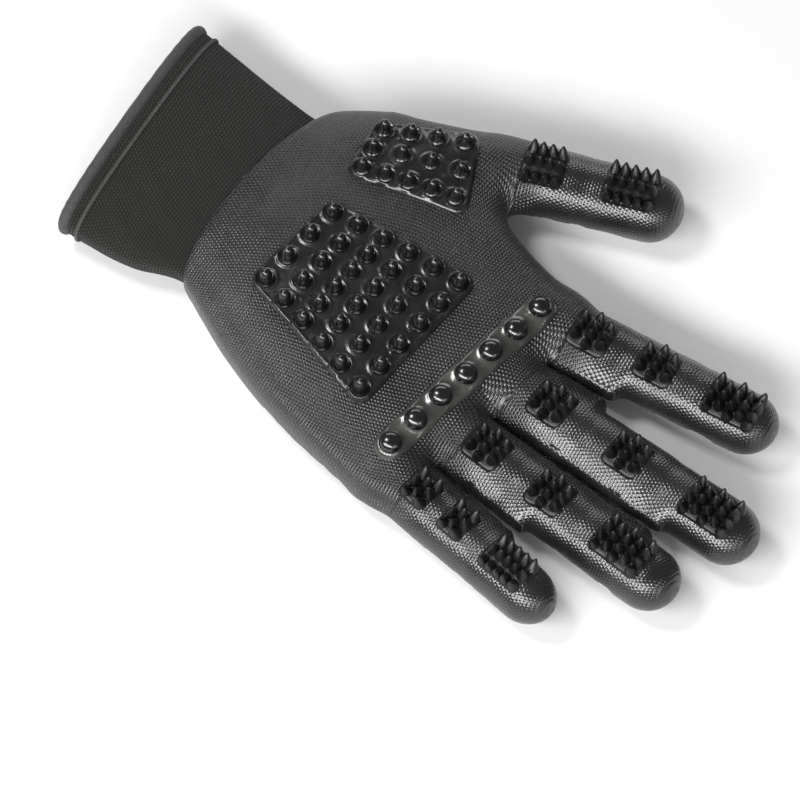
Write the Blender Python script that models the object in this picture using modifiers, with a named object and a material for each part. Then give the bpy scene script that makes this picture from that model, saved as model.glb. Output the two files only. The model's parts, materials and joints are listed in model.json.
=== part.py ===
"""A dipped knit grooming glove for the left hand, lying on its back with the brush pads up.

+X runs from the wrist to the fingertips, +Y to the thumb side and +Z out of the palm. The glove is laid out in
millimetres from the middle of its hem, then moved so that the origin is under the middle of its bounding box.

Each skin is a liner of knit with a rubber coat over its palm side. Both are divided at the finger joints by
blocks whose ends slope away from the hinge, which leaves each joint room to bend.
"""

import math
from dataclasses import dataclass

import bmesh
import bpy
import numpy as np
from mathutils import Matrix, Vector
from mathutils.bvhtree import BVHTree

MM = 0.001
MIDDLE = np.array([122.04, 12.27, 0.0])  # the middle of the length and width, from the middle of the hem

# The skin, from outside in: coat, gap, liner. Offsets are measured inwards from the coat's outside.
COAT = 0.8
GAP = 0.3
KNIT = 1.2
COAT_OUT = 0.0
COAT_IN = -COAT
LINER_OUT = -(COAT + GAP)
LINER_IN = LINER_OUT - KNIT

# Joints
HINGE_GAP = 0.25  # from the hinge to either neighbour
HINGE_SHARE = 0.6  # how far up its half-thickness a finger's hinge sits
ABOVE, BELOW = 45.0, -8.0  # the heights that a cutting block reaches
COAT_EDGE = 8.8  # the height at which the coat ends on the side of a finger or of the palm
SIDE_ROOM = 1.4  # how much wider than its finger a cutting block is, on each side

# Round forms
FINGER_SIDES = 12
PALM_SIDES = 20
TIP_TURNS = (0, 30, 55, 78)  # degrees round a fingertip's dome, one ring each

# Brush pads
PAD_GAP = 0.55
PALM_PAD_GAP = 0.9  # the palm's facets are broader
PLATE = 1.0
NUB_ROOT = 0.4  # how deep a nub's foot sits in its plate
SPIKE_RADIUS, SPIKE_HEIGHT, SPIKE_SIDES = 1.75, 4.6, 5
BULLET_SIDES = 6
BULLET = ((2.9, 0.0), (2.3, 1.2), (2.1, 4.0), (1.1, 5.6))  # radius and height, foot to top
DOME = ((4.0, 0.0), (3.6, 2.0), (2.1, 3.6))
PALM_PAD = ((67.5, -27.5), (70.3, 13.0), (127.5, 19.0), (126.0, -43.0))
PALM_ROWS = (4, 5, 6, 6, 6, 6)
THENAR_PAD = ((62.8, 46.2), (93.3, 64.2), (109.5, 34.5), (68.0, 22.5))
THENAR_ROWS = (4, 4, 5)
STRIP_ENDS = ((140.6, -45.7), (147.8, 24.0))
STRIP_HALF_WIDTH, STRIP_OVERHANG, STRIP_DOMES = 5.2, 5.5, 7
PAD_MARGIN = 4.6  # from a palm pad's edge to its outer nubs

# Sections across the hand: distance from the hem, little-finger side, thumb side, top height, slant, back's height
PALM_STATIONS = (
    (42.0, -32.5, 40.8, 21.0, 0.0, 0.0),
    (52.0, -37.5, 49.0, 23.0, 0.0, 0.0),
    (64.0, -43.5, 57.0, 25.0, 0.0, 0.0),
    (82.0, -51.0, 61.5, 26.0, 0.0, 0.0),
    (98.0, -55.5, 58.0, 26.0, 0.0, 0.0),
    (110.0, -58.0, 50.0, 25.5, 0.0, 0.0),
    (122.0, -60.0, 43.5, 24.5, 0.03, 0.0),
    (137.0, -61.8, 40.0, 22.5, 0.08, 0.0),
    (151.9, -62.5, 39.2, 20.4, 0.1, 0.0),
)
CUFF_STATIONS = (
    (1.0, -44.0, 44.0, 23.6, -0.12, 2.0),
    (14.0, -43.4, 42.8, 22.8, -0.08, 1.9),
    (28.0, -41.0, 41.4, 22.0, -0.04, 1.0),
    (44.0, -34.0, 40.6, 21.2, 0.0, 0.2),
)
PALM_SQUARENESS = 2.6
PALM_FLAT = 0.965  # share of the half-height below which the back of the hand is flat
WRIST_HINGE = (42.5, 4.0, 10.4)
WRIST_BEND = 30.0
CUFF_KNIT = 1.5
BINDING_RADIUS = 2.2
RIDGE_RADIUS = 0.7
RIDGE_FROM_HEM = 6.5


@dataclass(frozen=True)
class Digit:
    """One finger or the thumb, measured in millimetres along its own axis from its first hinge."""

    name: str
    hinge: tuple  # x and y of the first hinge
    heading: float  # degrees from +X towards +Y
    base_height: float  # of the axis, at the first hinge
    rise: float  # of the axis, from there to the tip
    half_width: tuple  # at the first hinge and at the tip
    half_height: tuple
    length: float
    segments: tuple
    joints: tuple  # distance of each hinge along the axis
    bends: tuple  # degrees that each hinge bends towards the palm
    back_bends: tuple
    pads: tuple  # of each segment: middle, half-length, half-width, nubs in each row
    root: float = -22.0  # where the tube starts, inside the palm
    dome: float = 11.0  # the length of the tip's dome

    def axis(self):
        turn = math.radians(self.heading)
        return np.array([math.cos(turn), math.sin(turn), 0.0])

    def place(self, along, across, height):
        """Points of the glove from distances along, across and above this digit."""
        u = self.axis()
        side = np.array([-u[1], u[0], 0.0])
        start = np.array([*self.hinge, 0.0])
        points = start + np.multiply.outer(along, u) + np.multiply.outer(across, side)
        points[..., 2] += height
        return points

    def size_at(self, along, offset):
        """Half-width, half-height and height of the axis at a distance along, for a skin at an offset."""
        share = np.clip(along / self.length, 0.0, 1.0)
        across = self.half_width[0] + (self.half_width[1] - self.half_width[0]) * share + offset
        up = self.half_height[0] + (self.half_height[1] - self.half_height[0]) * share + offset
        into_dome = np.clip((along - self.length + self.dome) / (self.dome + offset), 0.0, 1.0)
        shrink = np.sqrt(1.0 - into_dome**2)
        return across * shrink, up * shrink, self.base_height + self.rise * share

    def surface(self, turn, along, offset):
        """Points of the skin; turn is in radians from the palm side towards the thumb."""
        across, up, height = self.size_at(along, offset)
        return self.place(along, across * np.sin(turn), height + up * np.cos(turn))

    def hinge_height(self, along):
        _, up, height = self.size_at(along, COAT_OUT)
        return float(height + HINGE_SHARE * up)


def finger(name, hinge, heading, widths, length, joints, bends, pads):
    return Digit(
        name=name, hinge=hinge, heading=heading, base_height=9.2, rise=1.0, half_width=widths,
        half_height=(9.9, 9.3), length=length, segments=("proximal", "middle", "distal"),
        joints=(0.0, *joints), bends=bends, back_bends=(12.0, 0.0, 0.0), pads=pads,
    )  # fmt: skip


DIGITS = (
    finger(
        "index", (156.3, 27.1), 7.6, (11.6, 10.6), 77.5, (21.8, 47.0), (40.0, 60.0, 48.0),
        ((9.8, 6.3, 6.3, (3, 4, 3)), (33.7, 6.3, 6.3, (3, 4, 3)), (62.5, 9.5, 6.8, (4, 3, 4, 3, 4))),
    ),
    finger(
        "middle", (157.0, -1.0), 0.6, (11.8, 11.0), 96.0, (29.5, 60.5), (40.0, 60.0, 48.0),
        ((14.5, 6.3, 6.3, (3, 4, 3)), (45.4, 6.3, 6.3, (3, 4, 3)), (79.0, 9.5, 6.8, (4, 3, 4, 3, 4))),
    ),
    finger(
        "ring", (153.5, -25.5), -2.7, (11.7, 10.8), 90.0, (24.8, 52.0), (40.0, 60.0, 48.0),
        ((11.6, 6.3, 6.3, (3, 4, 3)), (38.0, 6.3, 6.3, (3, 4, 3)), (68.5, 9.5, 6.8, (4, 3, 4, 3, 4))),
    ),
    finger(
        "little", (149.7, -50.6), -7.3, (11.0, 9.4), 66.5, (16.2, 34.8), (40.0, 38.0, 40.0),
        ((8.5, 4.7, 5.6, (3, 2, 3)), (24.8, 4.7, 5.6, (3, 2, 3)), (47.5, 8.4, 6.0, (3, 3, 3, 3, 3))),
    ),
    Digit(
        name="thumb", hinge=(105.0, 62.8), heading=21.8, base_height=10.6, rise=0.6,
        half_width=(12.6, 11.2), half_height=(11.4, 10.4), length=59.0,
        segments=("proximal", "distal"), joints=(0.0, 26.5), bends=(38.0, 50.0), back_bends=(10.0, 0.0),
        pads=((12.0, 6.6, 6.6, (4, 4, 4)), (41.5, 8.6, 6.6, (3, 3, 3, 3, 3))), root=-34.0,
    ),
)  # fmt: skip

# Colour, roughness and metallic value of each finish
FINISHES = {
    "knit": ((0.022, 0.020, 0.019), 0.85, 0.0),
    "coat": ((0.010, 0.010, 0.011), 0.32, 0.0),
    "pad": ((0.008, 0.008, 0.009), 0.22, 0.0),
    "binding": ((0.045, 0.044, 0.043), 0.8, 0.0),
}


def clear_scene():
    for obj in list(bpy.data.objects):
        bpy.data.objects.remove(obj, do_unlink=True)


def make_collection(name):
    collection = bpy.data.collections.new(name)
    bpy.context.scene.collection.children.link(collection)
    return collection


def make_material(name, finish):
    color, roughness, metallic = FINISHES[finish]
    material = bpy.data.materials.new(name)
    material.use_nodes = True
    shader = material.node_tree.nodes["Principled BSDF"]
    shader.inputs["Base Color"].default_value = (*color, 1.0)
    shader.inputs["Roughness"].default_value = roughness
    shader.inputs["Metallic"].default_value = metallic
    return material


class Bench:
    """Holds the two collections, and turns meshes into parts and cutters."""

    def __init__(self):
        self.parts = make_collection("grooming_glove")
        self.cutters = make_collection("cutters")

    def part(self, name, mesh, finish):
        obj = bpy.data.objects.new(name, mesh)
        self.parts.objects.link(obj)
        mesh.materials.append(make_material(name + "_finish", finish))
        return obj

    def cutter(self, name, mesh):
        obj = bpy.data.objects.new(name, mesh)
        self.cutters.objects.link(obj)
        obj.hide_render = True
        obj.display_type = "WIRE"
        return obj


def combine(obj, operation, *others):
    for other in others:
        modifier = obj.modifiers.new(f"{operation.lower()}_{other.name}", "BOOLEAN")
        modifier.operation = operation
        modifier.object = other


def finish_mesh(bm, name):
    bmesh.ops.recalc_face_normals(bm, faces=bm.faces)
    if bm.calc_volume(signed=True) < 0:
        bmesh.ops.reverse_faces(bm, faces=bm.faces)
    mesh = bpy.data.meshes.new(name)
    bm.to_mesh(mesh)
    bm.free()
    return mesh


def to_metres(points):
    return (np.asarray(points) - MIDDLE) * MM


def loft(name, rings):
    """A closed skin through rings that have the same number of points but unlike sections."""
    bm = bmesh.new()
    rows = [[bm.verts.new(point) for point in to_metres(ring)] for ring in rings]
    for row, after in zip(rows, rows[1:]):
        for k in range(len(row)):
            bm.faces.new((row[k - 1], row[k], after[k], after[k - 1]))
    bm.faces.new(rows[0])
    bm.faces.new(rows[-1])
    return finish_mesh(bm, name)


def prism(name, outline, frame, half_width):
    """A block whose outline is given in distance along and height, carried across to both sides."""
    along, height = np.array(outline).T
    bm = bmesh.new()
    corners = to_metres(frame(along, np.full_like(along, -half_width), height))
    face = bm.faces.new([bm.verts.new(corner) for corner in corners])
    far = to_metres(frame(along, np.full_like(along, half_width), height))
    pushed = bmesh.ops.extrude_face_region(bm, geom=[face])
    moved = [v for v in pushed["geom"] if isinstance(v, bmesh.types.BMVert)]
    bmesh.ops.translate(bm, verts=moved, vec=Vector(far[0] - corners[0]))
    return finish_mesh(bm, name)


def hand_frame(along, across, height):
    return np.stack([along, across, height], axis=-1)


def side_of_hinge(along, height, bend, back_bend, towards):
    """Three points down the face that a piece turns to its hinge; towards is +1 for the far piece."""
    up = math.tan(math.radians(bend / 2)) * (ABOVE - height)
    down = math.tan(math.radians(back_bend / 2)) * (height - BELOW)
    return [
        (along + towards * (HINGE_GAP + up), ABOVE),
        (along + towards * HINGE_GAP, height),
        (along + towards * (HINGE_GAP + down), BELOW),
    ]


def section(low, high, top, back, offset):
    """One ring across the hand: a squared oval, flat where it lies on its back."""
    top = top - back
    turns = (np.arange(PALM_SIDES) + 0.5) * 2 * math.pi / PALM_SIDES
    power = 2 / PALM_SQUARENESS
    half_width = (high - low) / 2 + offset
    half_height = (top - LINER_OUT) / (1 + PALM_FLAT) + LINER_OUT
    middle = PALM_FLAT * half_height
    reach = half_height - LINER_OUT + offset
    across = np.sign(np.cos(turns)) * np.abs(np.cos(turns)) ** power * half_width
    up = np.sign(np.sin(turns)) * np.abs(np.sin(turns)) ** power * reach
    flat = -middle + LINER_OUT - offset
    return (high + low) / 2 + across, back + middle + np.maximum(up, flat)


def hand_rings(stations, offset, start=0.0, end=0.0):
    """Rings through stations; the first and last are pushed out by start and end."""
    rings = []
    for k, (along, low, high, top, slant, back) in enumerate(stations):
        across, height = section(low, high, top, back, offset)
        push = -start * (k == 0) + end * (k == len(stations) - 1)
        rings.append(np.stack([along + push + slant * across, across, height], axis=-1))
    return rings


def digit_rings(digit, offset):
    turns = np.arange(FINGER_SIDES) * 2 * math.pi / FINGER_SIDES
    body_end = digit.length - digit.dome
    dome = digit.dome + offset
    stops = [digit.root - offset, 0.0, body_end / 2]
    stops += [body_end + dome * math.sin(math.radians(turn)) for turn in TIP_TURNS]
    return [digit.surface(turns, np.full(FINGER_SIDES, stop), offset) for stop in stops]


def digit_skins(bench, digit):
    names = {"coat_out": COAT_OUT, "coat_in": COAT_IN, "liner_out": LINER_OUT, "liner_in": LINER_IN}
    return {
        key: bench.cutter(f"{digit.name}_{key}", loft(f"{digit.name}_{key}", digit_rings(digit, offset)))
        for key, offset in names.items()
    }


def segment_blocks(bench, digit):
    """One block for each segment, and the one that frees the whole digit from the palm."""
    width = max(digit.half_width) + SIDE_ROOM
    far_end = [(digit.length + 10, BELOW), (digit.length + 10, ABOVE)]
    blocks = []
    for k, start in enumerate(digit.joints):
        near = side_of_hinge(start, digit.hinge_height(start), digit.bends[k], digit.back_bends[k], 1)
        if k + 1 < len(digit.joints):
            stop = digit.joints[k + 1]
            bends = digit.bends[k + 1], digit.back_bends[k + 1]
            far = side_of_hinge(stop, digit.hinge_height(stop), *bends, -1)[::-1]
        else:
            far = far_end
        name = f"{digit.name}_{digit.segments[k]}_block"
        blocks.append(bench.cutter(name, prism(name, near + far, digit.place, width)))
    free = side_of_hinge(0.0, digit.hinge_height(0.0), digit.bends[0], digit.back_bends[0], -1)
    name = f"{digit.name}_free"
    return blocks, bench.cutter(name, prism(name, free + far_end, digit.place, width))


def coat_region(bench, digit):
    """Everything above the coat's edge, and all round the fingertip."""
    tip = digit.length - digit.dome - 4.0
    outline = [
        (digit.root - 10, COAT_EDGE),
        (tip, COAT_EDGE),
        (tip + 6.0, BELOW),
        (digit.length + 20, BELOW),
        (digit.length + 20, ABOVE),
        (digit.root - 10, ABOVE),
    ]
    name = f"{digit.name}_coat_region"
    return bench.cutter(name, prism(name, outline, digit.place, max(digit.half_width) + 6))


def patch_with_nubs(bench, name, grid, nubs):
    """A plate over a grid of points, thickened outwards, with nubs joined to it."""
    rows, columns = grid.shape[:2]
    bm = bmesh.new()
    verts = [[bm.verts.new(point) for point in row] for row in to_metres(grid)]
    for i in range(rows - 1):
        for j in range(columns - 1):
            bm.faces.new((verts[i][j], verts[i][j + 1], verts[i + 1][j + 1], verts[i + 1][j]))
    mesh = bpy.data.meshes.new(name)
    bm.normal_update()
    if sum(face.normal.z for face in bm.faces) < 0:
        bmesh.ops.reverse_faces(bm, faces=bm.faces)
    bm.to_mesh(mesh)
    bm.free()
    plate = bench.part(name, mesh, "pad")
    thicken = plate.modifiers.new("thickness", "SOLIDIFY")
    thicken.thickness = PLATE * MM
    thicken.offset = 1.0
    combine(plate, "UNION", bench.cutter(name + "_nubs", nubs))
    return plate


def standing(point, normal):
    """The matrix that stands a nub on a point, square to the surface."""
    turn = Vector((0, 0, 1)).rotation_difference(Vector(normal)).to_matrix().to_4x4()
    return Matrix.Translation(Vector(to_metres(point))) @ turn


def add_spike(bm, point, normal):
    depth = SPIKE_HEIGHT + NUB_ROOT
    lift = Matrix.Translation((0, 0, (depth / 2 - NUB_ROOT) * MM))
    bmesh.ops.create_cone(
        bm, cap_ends=True, segments=SPIKE_SIDES, radius1=SPIKE_RADIUS * MM, radius2=0.0, depth=depth * MM,
        matrix=standing(point, normal) @ lift,
    )  # fmt: skip


def add_turned(bm, profile, point, normal):
    """A nub turned from a profile of radius and height, its foot sunk into the plate."""
    profile = ((profile[0][0], -NUB_ROOT), *profile)
    place = standing(point, normal)
    stack = []
    for radius, height in profile:
        lift = place @ Matrix.Translation((0, 0, height * MM))
        made = bmesh.ops.create_circle(bm, segments=BULLET_SIDES, radius=radius * MM, matrix=lift)
        stack.append(made["verts"])
    for low, high in zip(stack, stack[1:]):
        for k in range(BULLET_SIDES):
            bm.faces.new((low[k - 1], low[k], high[k], high[k - 1]))
    bm.faces.new(stack[0])
    bm.faces.new(stack[-1])


def finger_pad(bench, digit, segment):
    """A pad of spikes wrapped over one segment's palm side."""
    middle, half_length, half_width, rows = digit.pads[segment]
    reach = math.asin(half_width / float(digit.size_at(middle, PAD_GAP)[0]))
    turns, stops = np.meshgrid(
        np.linspace(-reach, reach, 4), np.linspace(middle - half_length, middle + half_length, 4)
    )
    grid = digit.surface(turns, stops, PAD_GAP)
    bm = bmesh.new()
    step = 2 * (half_length - SPIKE_RADIUS - 0.4) / (len(rows) - 1)
    for r, count in enumerate(rows):
        along = middle + (r - (len(rows) - 1) / 2) * step
        side_step = 2 * (half_width - SPIKE_RADIUS - 0.2) / (max(rows) - 1)
        for c in range(count):
            across = (c - (count - 1) / 2) * side_step
            turn = math.asin(across / float(digit.size_at(middle, PAD_GAP)[0]))
            point, normal = point_and_normal(digit, turn, along)
            add_spike(bm, point, normal)
    name = f"{digit.name}_{digit.segments[segment]}_pad"
    return patch_with_nubs(bench, name, grid, finish_mesh(bm, name + "_nubs"))


def point_and_normal(digit, turn, along):
    """A point on a pad's face, and the direction square to it."""
    step, offset = 0.02, PAD_GAP + PLATE - 0.1
    here = digit.surface(turn, along, offset)
    round_it = digit.surface(turn + step, along, offset) - digit.surface(turn - step, along, offset)
    along_it = digit.surface(turn, along + step, offset) - digit.surface(turn, along - step, offset)
    normal = np.cross(along_it, round_it)
    return here, normal / np.linalg.norm(normal)


class PalmTop:
    """Reads heights off the finished palm coat."""

    def __init__(self, coat):
        bpy.context.view_layer.update()
        self.tree = BVHTree.FromObject(coat, bpy.context.evaluated_depsgraph_get())

    def drop(self, across_hand):
        """The point and normal straight under each place."""
        start = Vector(to_metres((*across_hand, 60.0)))
        hit, normal, _, _ = self.tree.ray_cast(start, Vector((0, 0, -1)))
        return np.array(hit) / MM + MIDDLE, np.array(normal)


def quad_points(corners, rows, margin=0.0):
    """Places in rows across a four-cornered plate; rows run from its first two corners to its last two."""
    a, b, d, c = (np.array(corner) for corner in corners)
    depth = np.linalg.norm((c + d) / 2 - (a + b) / 2)
    places = []
    for r, count in enumerate(rows):
        down = margin / depth + (1 - 2 * margin / depth) * r / (len(rows) - 1)
        left, right = a + (c - a) * down, b + (d - b) * down
        inset = margin / np.linalg.norm(right - left)
        for k in range(count):
            places.append(left + (right - left) * (inset + (1 - 2 * inset) * k / (count - 1)))
    return places


def palm_plate(bench, top, name, corners, cells, places, profile):
    grid = []
    for place in quad_points(corners, (cells[1],) * cells[0]):
        point, _ = top.drop(place)
        grid.append(point + (0, 0, PALM_PAD_GAP))
    bm = bmesh.new()
    for place in places:
        point, normal = top.drop(place)
        lean = normal * 0.5 + np.array([0, 0, 0.5])
        add_turned(bm, profile, point + (0, 0, PALM_PAD_GAP + PLATE - 0.1), lean / np.linalg.norm(lean))
    grid = np.array(grid).reshape(*cells, 3)
    return patch_with_nubs(bench, name, grid, finish_mesh(bm, name + "_nubs"))


def strip_outline():
    """The corners of the bar across the finger bases, and its domes' places."""
    low, high = (np.array(end) for end in STRIP_ENDS)
    along = (high - low) / np.linalg.norm(high - low)
    across = np.array([along[1], -along[0]])
    outer = (low - along * STRIP_OVERHANG, high + along * STRIP_OVERHANG)
    edge = across * STRIP_HALF_WIDTH
    corners = (outer[0] - edge, outer[1] - edge, outer[1] + edge, outer[0] + edge)
    domes = [low + (high - low) * k / (STRIP_DOMES - 1) for k in range(STRIP_DOMES)]
    return corners, domes


def hem_ring(bench, name, station_set_in, radius, outset, sides, finish):
    """A round band that follows the cuff's oval near the hem."""
    along, low, high, top, slant, back = CUFF_STATIONS[0]
    across, height = section(low, high, top, back, outset)
    ring = np.stack([along + station_set_in + slant * across, across, height], axis=-1)
    curve = bpy.data.curves.new(name, "CURVE")
    curve.dimensions = "3D"
    curve.bevel_depth = radius * MM
    curve.bevel_resolution = sides
    spline = curve.splines.new("POLY")
    spline.points.add(len(ring) - 1)
    for point, place in zip(spline.points, to_metres(ring)):
        point.co = (*place, 1.0)
    spline.use_cyclic_u = True
    obj = bpy.data.objects.new(name, curve)
    bench.parts.objects.link(obj)
    curve.materials.append(make_material(name + "_finish", finish))
    return obj


def build_digit(bench, digit):
    skins = digit_skins(bench, digit)
    region = coat_region(bench, digit)
    blocks, free = segment_blocks(bench, digit)
    for k, segment in enumerate(digit.segments):
        name = f"{digit.name}_{segment}"
        liner = bench.part(name + "_liner", skins["liner_out"].data.copy(), "knit")
        combine(liner, "DIFFERENCE", skins["liner_in"])
        combine(liner, "INTERSECT", blocks[k])
        coat = bench.part(name + "_coat", skins["coat_out"].data.copy(), "coat")
        combine(coat, "DIFFERENCE", skins["coat_in"])
        combine(coat, "INTERSECT", blocks[k], region)
        finger_pad(bench, digit, k)
    return skins, free


def build_palm(bench, digits):
    """The palm's liner and coat: a broad bag joined to the root of every digit, open at the wrist."""

    def bag(name, offset, start):
        return loft(name, hand_rings(PALM_STATIONS, offset, start=start, end=offset))

    wrist = side_of_hinge(WRIST_HINGE[0], WRIST_HINGE[2], WRIST_BEND, WRIST_BEND, 1)
    far = [(200.0, BELOW), (200.0, ABOVE)]
    wrist_block = bench.cutter("palm_block", prism("palm_block", wrist + far, hand_frame, 90.0))
    above = [(30.0, COAT_EDGE), (200.0, COAT_EDGE), (200.0, ABOVE), (30.0, ABOVE)]
    region = bench.cutter("palm_coat_region", prism("palm_coat_region", above, hand_frame, 90.0))
    free = [free for _, free in digits]

    liner = bench.part("palm_liner", bag("palm_liner", LINER_OUT, 0.0), "knit")
    combine(liner, "UNION", *(skins["liner_out"] for skins, _ in digits))
    inside = bench.cutter("palm_liner_in", bag("palm_liner_in", LINER_IN, 10.0))
    combine(liner, "DIFFERENCE", inside, *(skins["liner_in"] for skins, _ in digits))
    combine(liner, "DIFFERENCE", *free)
    combine(liner, "INTERSECT", wrist_block)

    coat = bench.part("palm_coat", bag("palm_coat", COAT_OUT, 0.0), "coat")
    combine(coat, "UNION", *(skins["coat_out"] for skins, _ in digits))
    inside = bench.cutter("palm_coat_in", bag("palm_coat_in", COAT_IN, 10.0))
    combine(coat, "DIFFERENCE", inside, *(skins["coat_in"] for skins, _ in digits))
    combine(coat, "DIFFERENCE", *free)
    combine(coat, "INTERSECT", wrist_block, region)
    return coat


def build_palm_pads(bench, coat):
    top = PalmTop(coat)
    nubs = quad_points(PALM_PAD, PALM_ROWS, PAD_MARGIN)
    palm_plate(bench, top, "palm_nub_pad", PALM_PAD, (8, 8), nubs, BULLET)
    nubs = quad_points(THENAR_PAD, THENAR_ROWS, PAD_MARGIN)
    palm_plate(bench, top, "thenar_nub_pad", THENAR_PAD, (7, 7), nubs, BULLET)
    corners, domes = strip_outline()
    palm_plate(bench, top, "finger_base_strip", corners, (3, 14), domes, DOME)


def build_cuff(bench):
    hinge = side_of_hinge(WRIST_HINGE[0], WRIST_HINGE[2], WRIST_BEND, WRIST_BEND, -1)
    far = [(-40.0, BELOW), (-40.0, ABOVE)]
    block = bench.cutter("cuff_block", prism("cuff_block", hinge + far, hand_frame, 90.0))
    outside = loft("cuff_knit", hand_rings(CUFF_STATIONS, LINER_OUT))
    inner = hand_rings(CUFF_STATIONS, LINER_OUT - CUFF_KNIT, start=10.0, end=10.0)
    inside = bench.cutter("cuff_in", loft("cuff_in", inner))
    cuff = bench.part("cuff_knit", outside, "knit")
    combine(cuff, "DIFFERENCE", inside)
    combine(cuff, "INTERSECT", block)
    middle_of_wall = LINER_OUT - CUFF_KNIT / 2
    hem_ring(bench, "hem_binding", -BINDING_RADIUS - GAP, BINDING_RADIUS, middle_of_wall, 2, "binding")
    outset = LINER_OUT + RIDGE_RADIUS + GAP + 0.1
    hem_ring(bench, "overlock_ridge", RIDGE_FROM_HEM, RIDGE_RADIUS, outset, 1, "binding")


def main():
    clear_scene()
    bench = Bench()
    digits = [build_digit(bench, digit) for digit in DIGITS]
    coat = build_palm(bench, digits)
    build_palm_pads(bench, coat)
    build_cuff(bench)


main()
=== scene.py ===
"""A dipped knit grooming glove for the left hand, palm up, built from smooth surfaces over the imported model.

The glove is worked out in millimetres in the hand's own frame, with +X from the hem to the fingertips, +Y to
the thumb side and +Z out of the palm. One smooth field describes the whole skin, and all else is laid on it.
"""

import json
import logging
import math
from dataclasses import dataclass
from enum import Enum

import bpy
import numpy as np
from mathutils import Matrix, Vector

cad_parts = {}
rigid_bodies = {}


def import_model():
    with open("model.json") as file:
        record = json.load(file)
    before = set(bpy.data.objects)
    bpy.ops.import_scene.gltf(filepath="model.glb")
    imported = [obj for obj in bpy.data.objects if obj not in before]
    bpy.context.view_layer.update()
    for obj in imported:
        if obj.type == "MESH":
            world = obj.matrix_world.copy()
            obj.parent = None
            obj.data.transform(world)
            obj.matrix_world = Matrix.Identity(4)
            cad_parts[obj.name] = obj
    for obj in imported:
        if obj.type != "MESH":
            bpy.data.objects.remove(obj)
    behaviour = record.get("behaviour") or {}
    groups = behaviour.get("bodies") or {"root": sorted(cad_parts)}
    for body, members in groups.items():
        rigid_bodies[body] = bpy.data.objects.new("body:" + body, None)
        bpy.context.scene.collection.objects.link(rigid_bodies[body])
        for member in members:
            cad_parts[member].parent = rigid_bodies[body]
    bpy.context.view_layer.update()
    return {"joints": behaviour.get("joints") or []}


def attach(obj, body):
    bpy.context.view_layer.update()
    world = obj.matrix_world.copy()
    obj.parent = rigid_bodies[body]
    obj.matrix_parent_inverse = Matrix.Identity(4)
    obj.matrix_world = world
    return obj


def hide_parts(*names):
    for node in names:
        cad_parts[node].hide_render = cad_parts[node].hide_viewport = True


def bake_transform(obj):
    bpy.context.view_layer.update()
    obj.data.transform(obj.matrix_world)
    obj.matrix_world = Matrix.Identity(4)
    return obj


for leftover in list(bpy.data.objects):
    bpy.data.objects.remove(leftover, do_unlink=True)
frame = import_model()

Array = np.ndarray
Socket = bpy.types.NodeSocket

log = logging.getLogger("grooming_glove")

MM = 0.001
JOINTS = {joint["name"]: joint for joint in frame["joints"]}
WRIST = np.array([42.5, 4.0, 10.4])  # the wrist's hinge from the middle of the hem
HEM = WRIST - np.array(JOINTS["wrist_bend"]["pos_m"]) / MM  # the row frame's origin, in the hand's frame
KNIT_DEPTH = 1.1  # how much lower the bare knit lies than the rubber coat
BACK_SHARE = 0.965  # how far under mid-height the flat back lies, as a share of half the whole oval's height


def to_row(points: Array) -> Array:
    """Hand millimetres to row-frame metres."""
    return (np.asarray(points) - HEM) * MM


def smooth_step(low: float, high: float, value: Array) -> Array:
    """0 below low, 1 above high and t*t*(3 - 2t) between."""
    t = np.clip((value - low) / (high - low), 0.0, 1.0)
    return t * t * (3.0 - 2.0 * t)


def smooth_min(first: Array, second: Array, round_off: float) -> Array:
    """The lower of two fields, rounded where they are within round_off of each other.

    min(a, b) - h*h*k/4, where h = max(k - |a - b|, 0) / k.
    """
    h = np.maximum(round_off - np.abs(first - second), 0.0) / round_off
    return np.minimum(first, second) - h * h * round_off / 4.0


def smooth_max(first: Array, second: Array, round_off: float) -> Array:
    """The higher of two fields, rounded in the same way."""
    return -smooth_min(-first, -second, round_off)


def ripple(points: Array, wave: float, turns: tuple[float, ...]) -> Array:
    """A gentle unevenness between -1 and 1: the mean of sine waves that run in several directions."""
    total = np.zeros(points.shape[:-1])
    for k, turn in enumerate(turns):
        run = points[..., 0] * math.cos(turn) + points[..., 1] * math.sin(turn) + points[..., 2] * 0.6
        total += np.sin(run * 2 * math.pi / wave * (1 + 0.23 * k) + 1.7 * k)
    return total / len(turns)


def unit(vectors: Array) -> Array:
    """Vectors brought to length 1."""
    return vectors / np.maximum(np.linalg.norm(vectors, axis=-1, keepdims=True), 1e-9)


def nearest(places: Array, spots: Array) -> Array:
    """How far each place lies from the nearest of some spots."""
    return np.linalg.norm(places[..., None, :] - spots, axis=-1).min(-1)


def rounded_run(stations: tuple, run: Array, reach: int, width: float) -> list[Array]:
    """The sizes of a table of stations along a run, with their corners rounded by a bell-shaped average.

    Args:
        stations: Rows of a distance and the sizes there.
        run: Distances, half a millimetre apart.
        reach: How many of them the average takes in to each side.
        width: The bell's width.

    Returns:
        An array for each size.
    """
    rows = np.array(stations, float)
    bell = np.exp(-(((np.arange(-reach, reach + 1) * 0.5) / width) ** 2) / 2)
    bell /= bell.sum()
    lines = (np.interp(run, rows[:, 0], column) for column in rows.T[1:])
    return [np.convolve(np.pad(line, reach, "edge"), bell, "valid") for line in lines]


class Slot(Enum):
    """The record's material slots."""

    CUFF = "cuff_knit"
    YARN = "hem_yarn"
    COAT = "nitrile_coat"
    BRUSH = "brush_rubber"
    GLOSS = "gloss_rubber"


# ---------------------------------------------------------------- meshes


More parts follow.
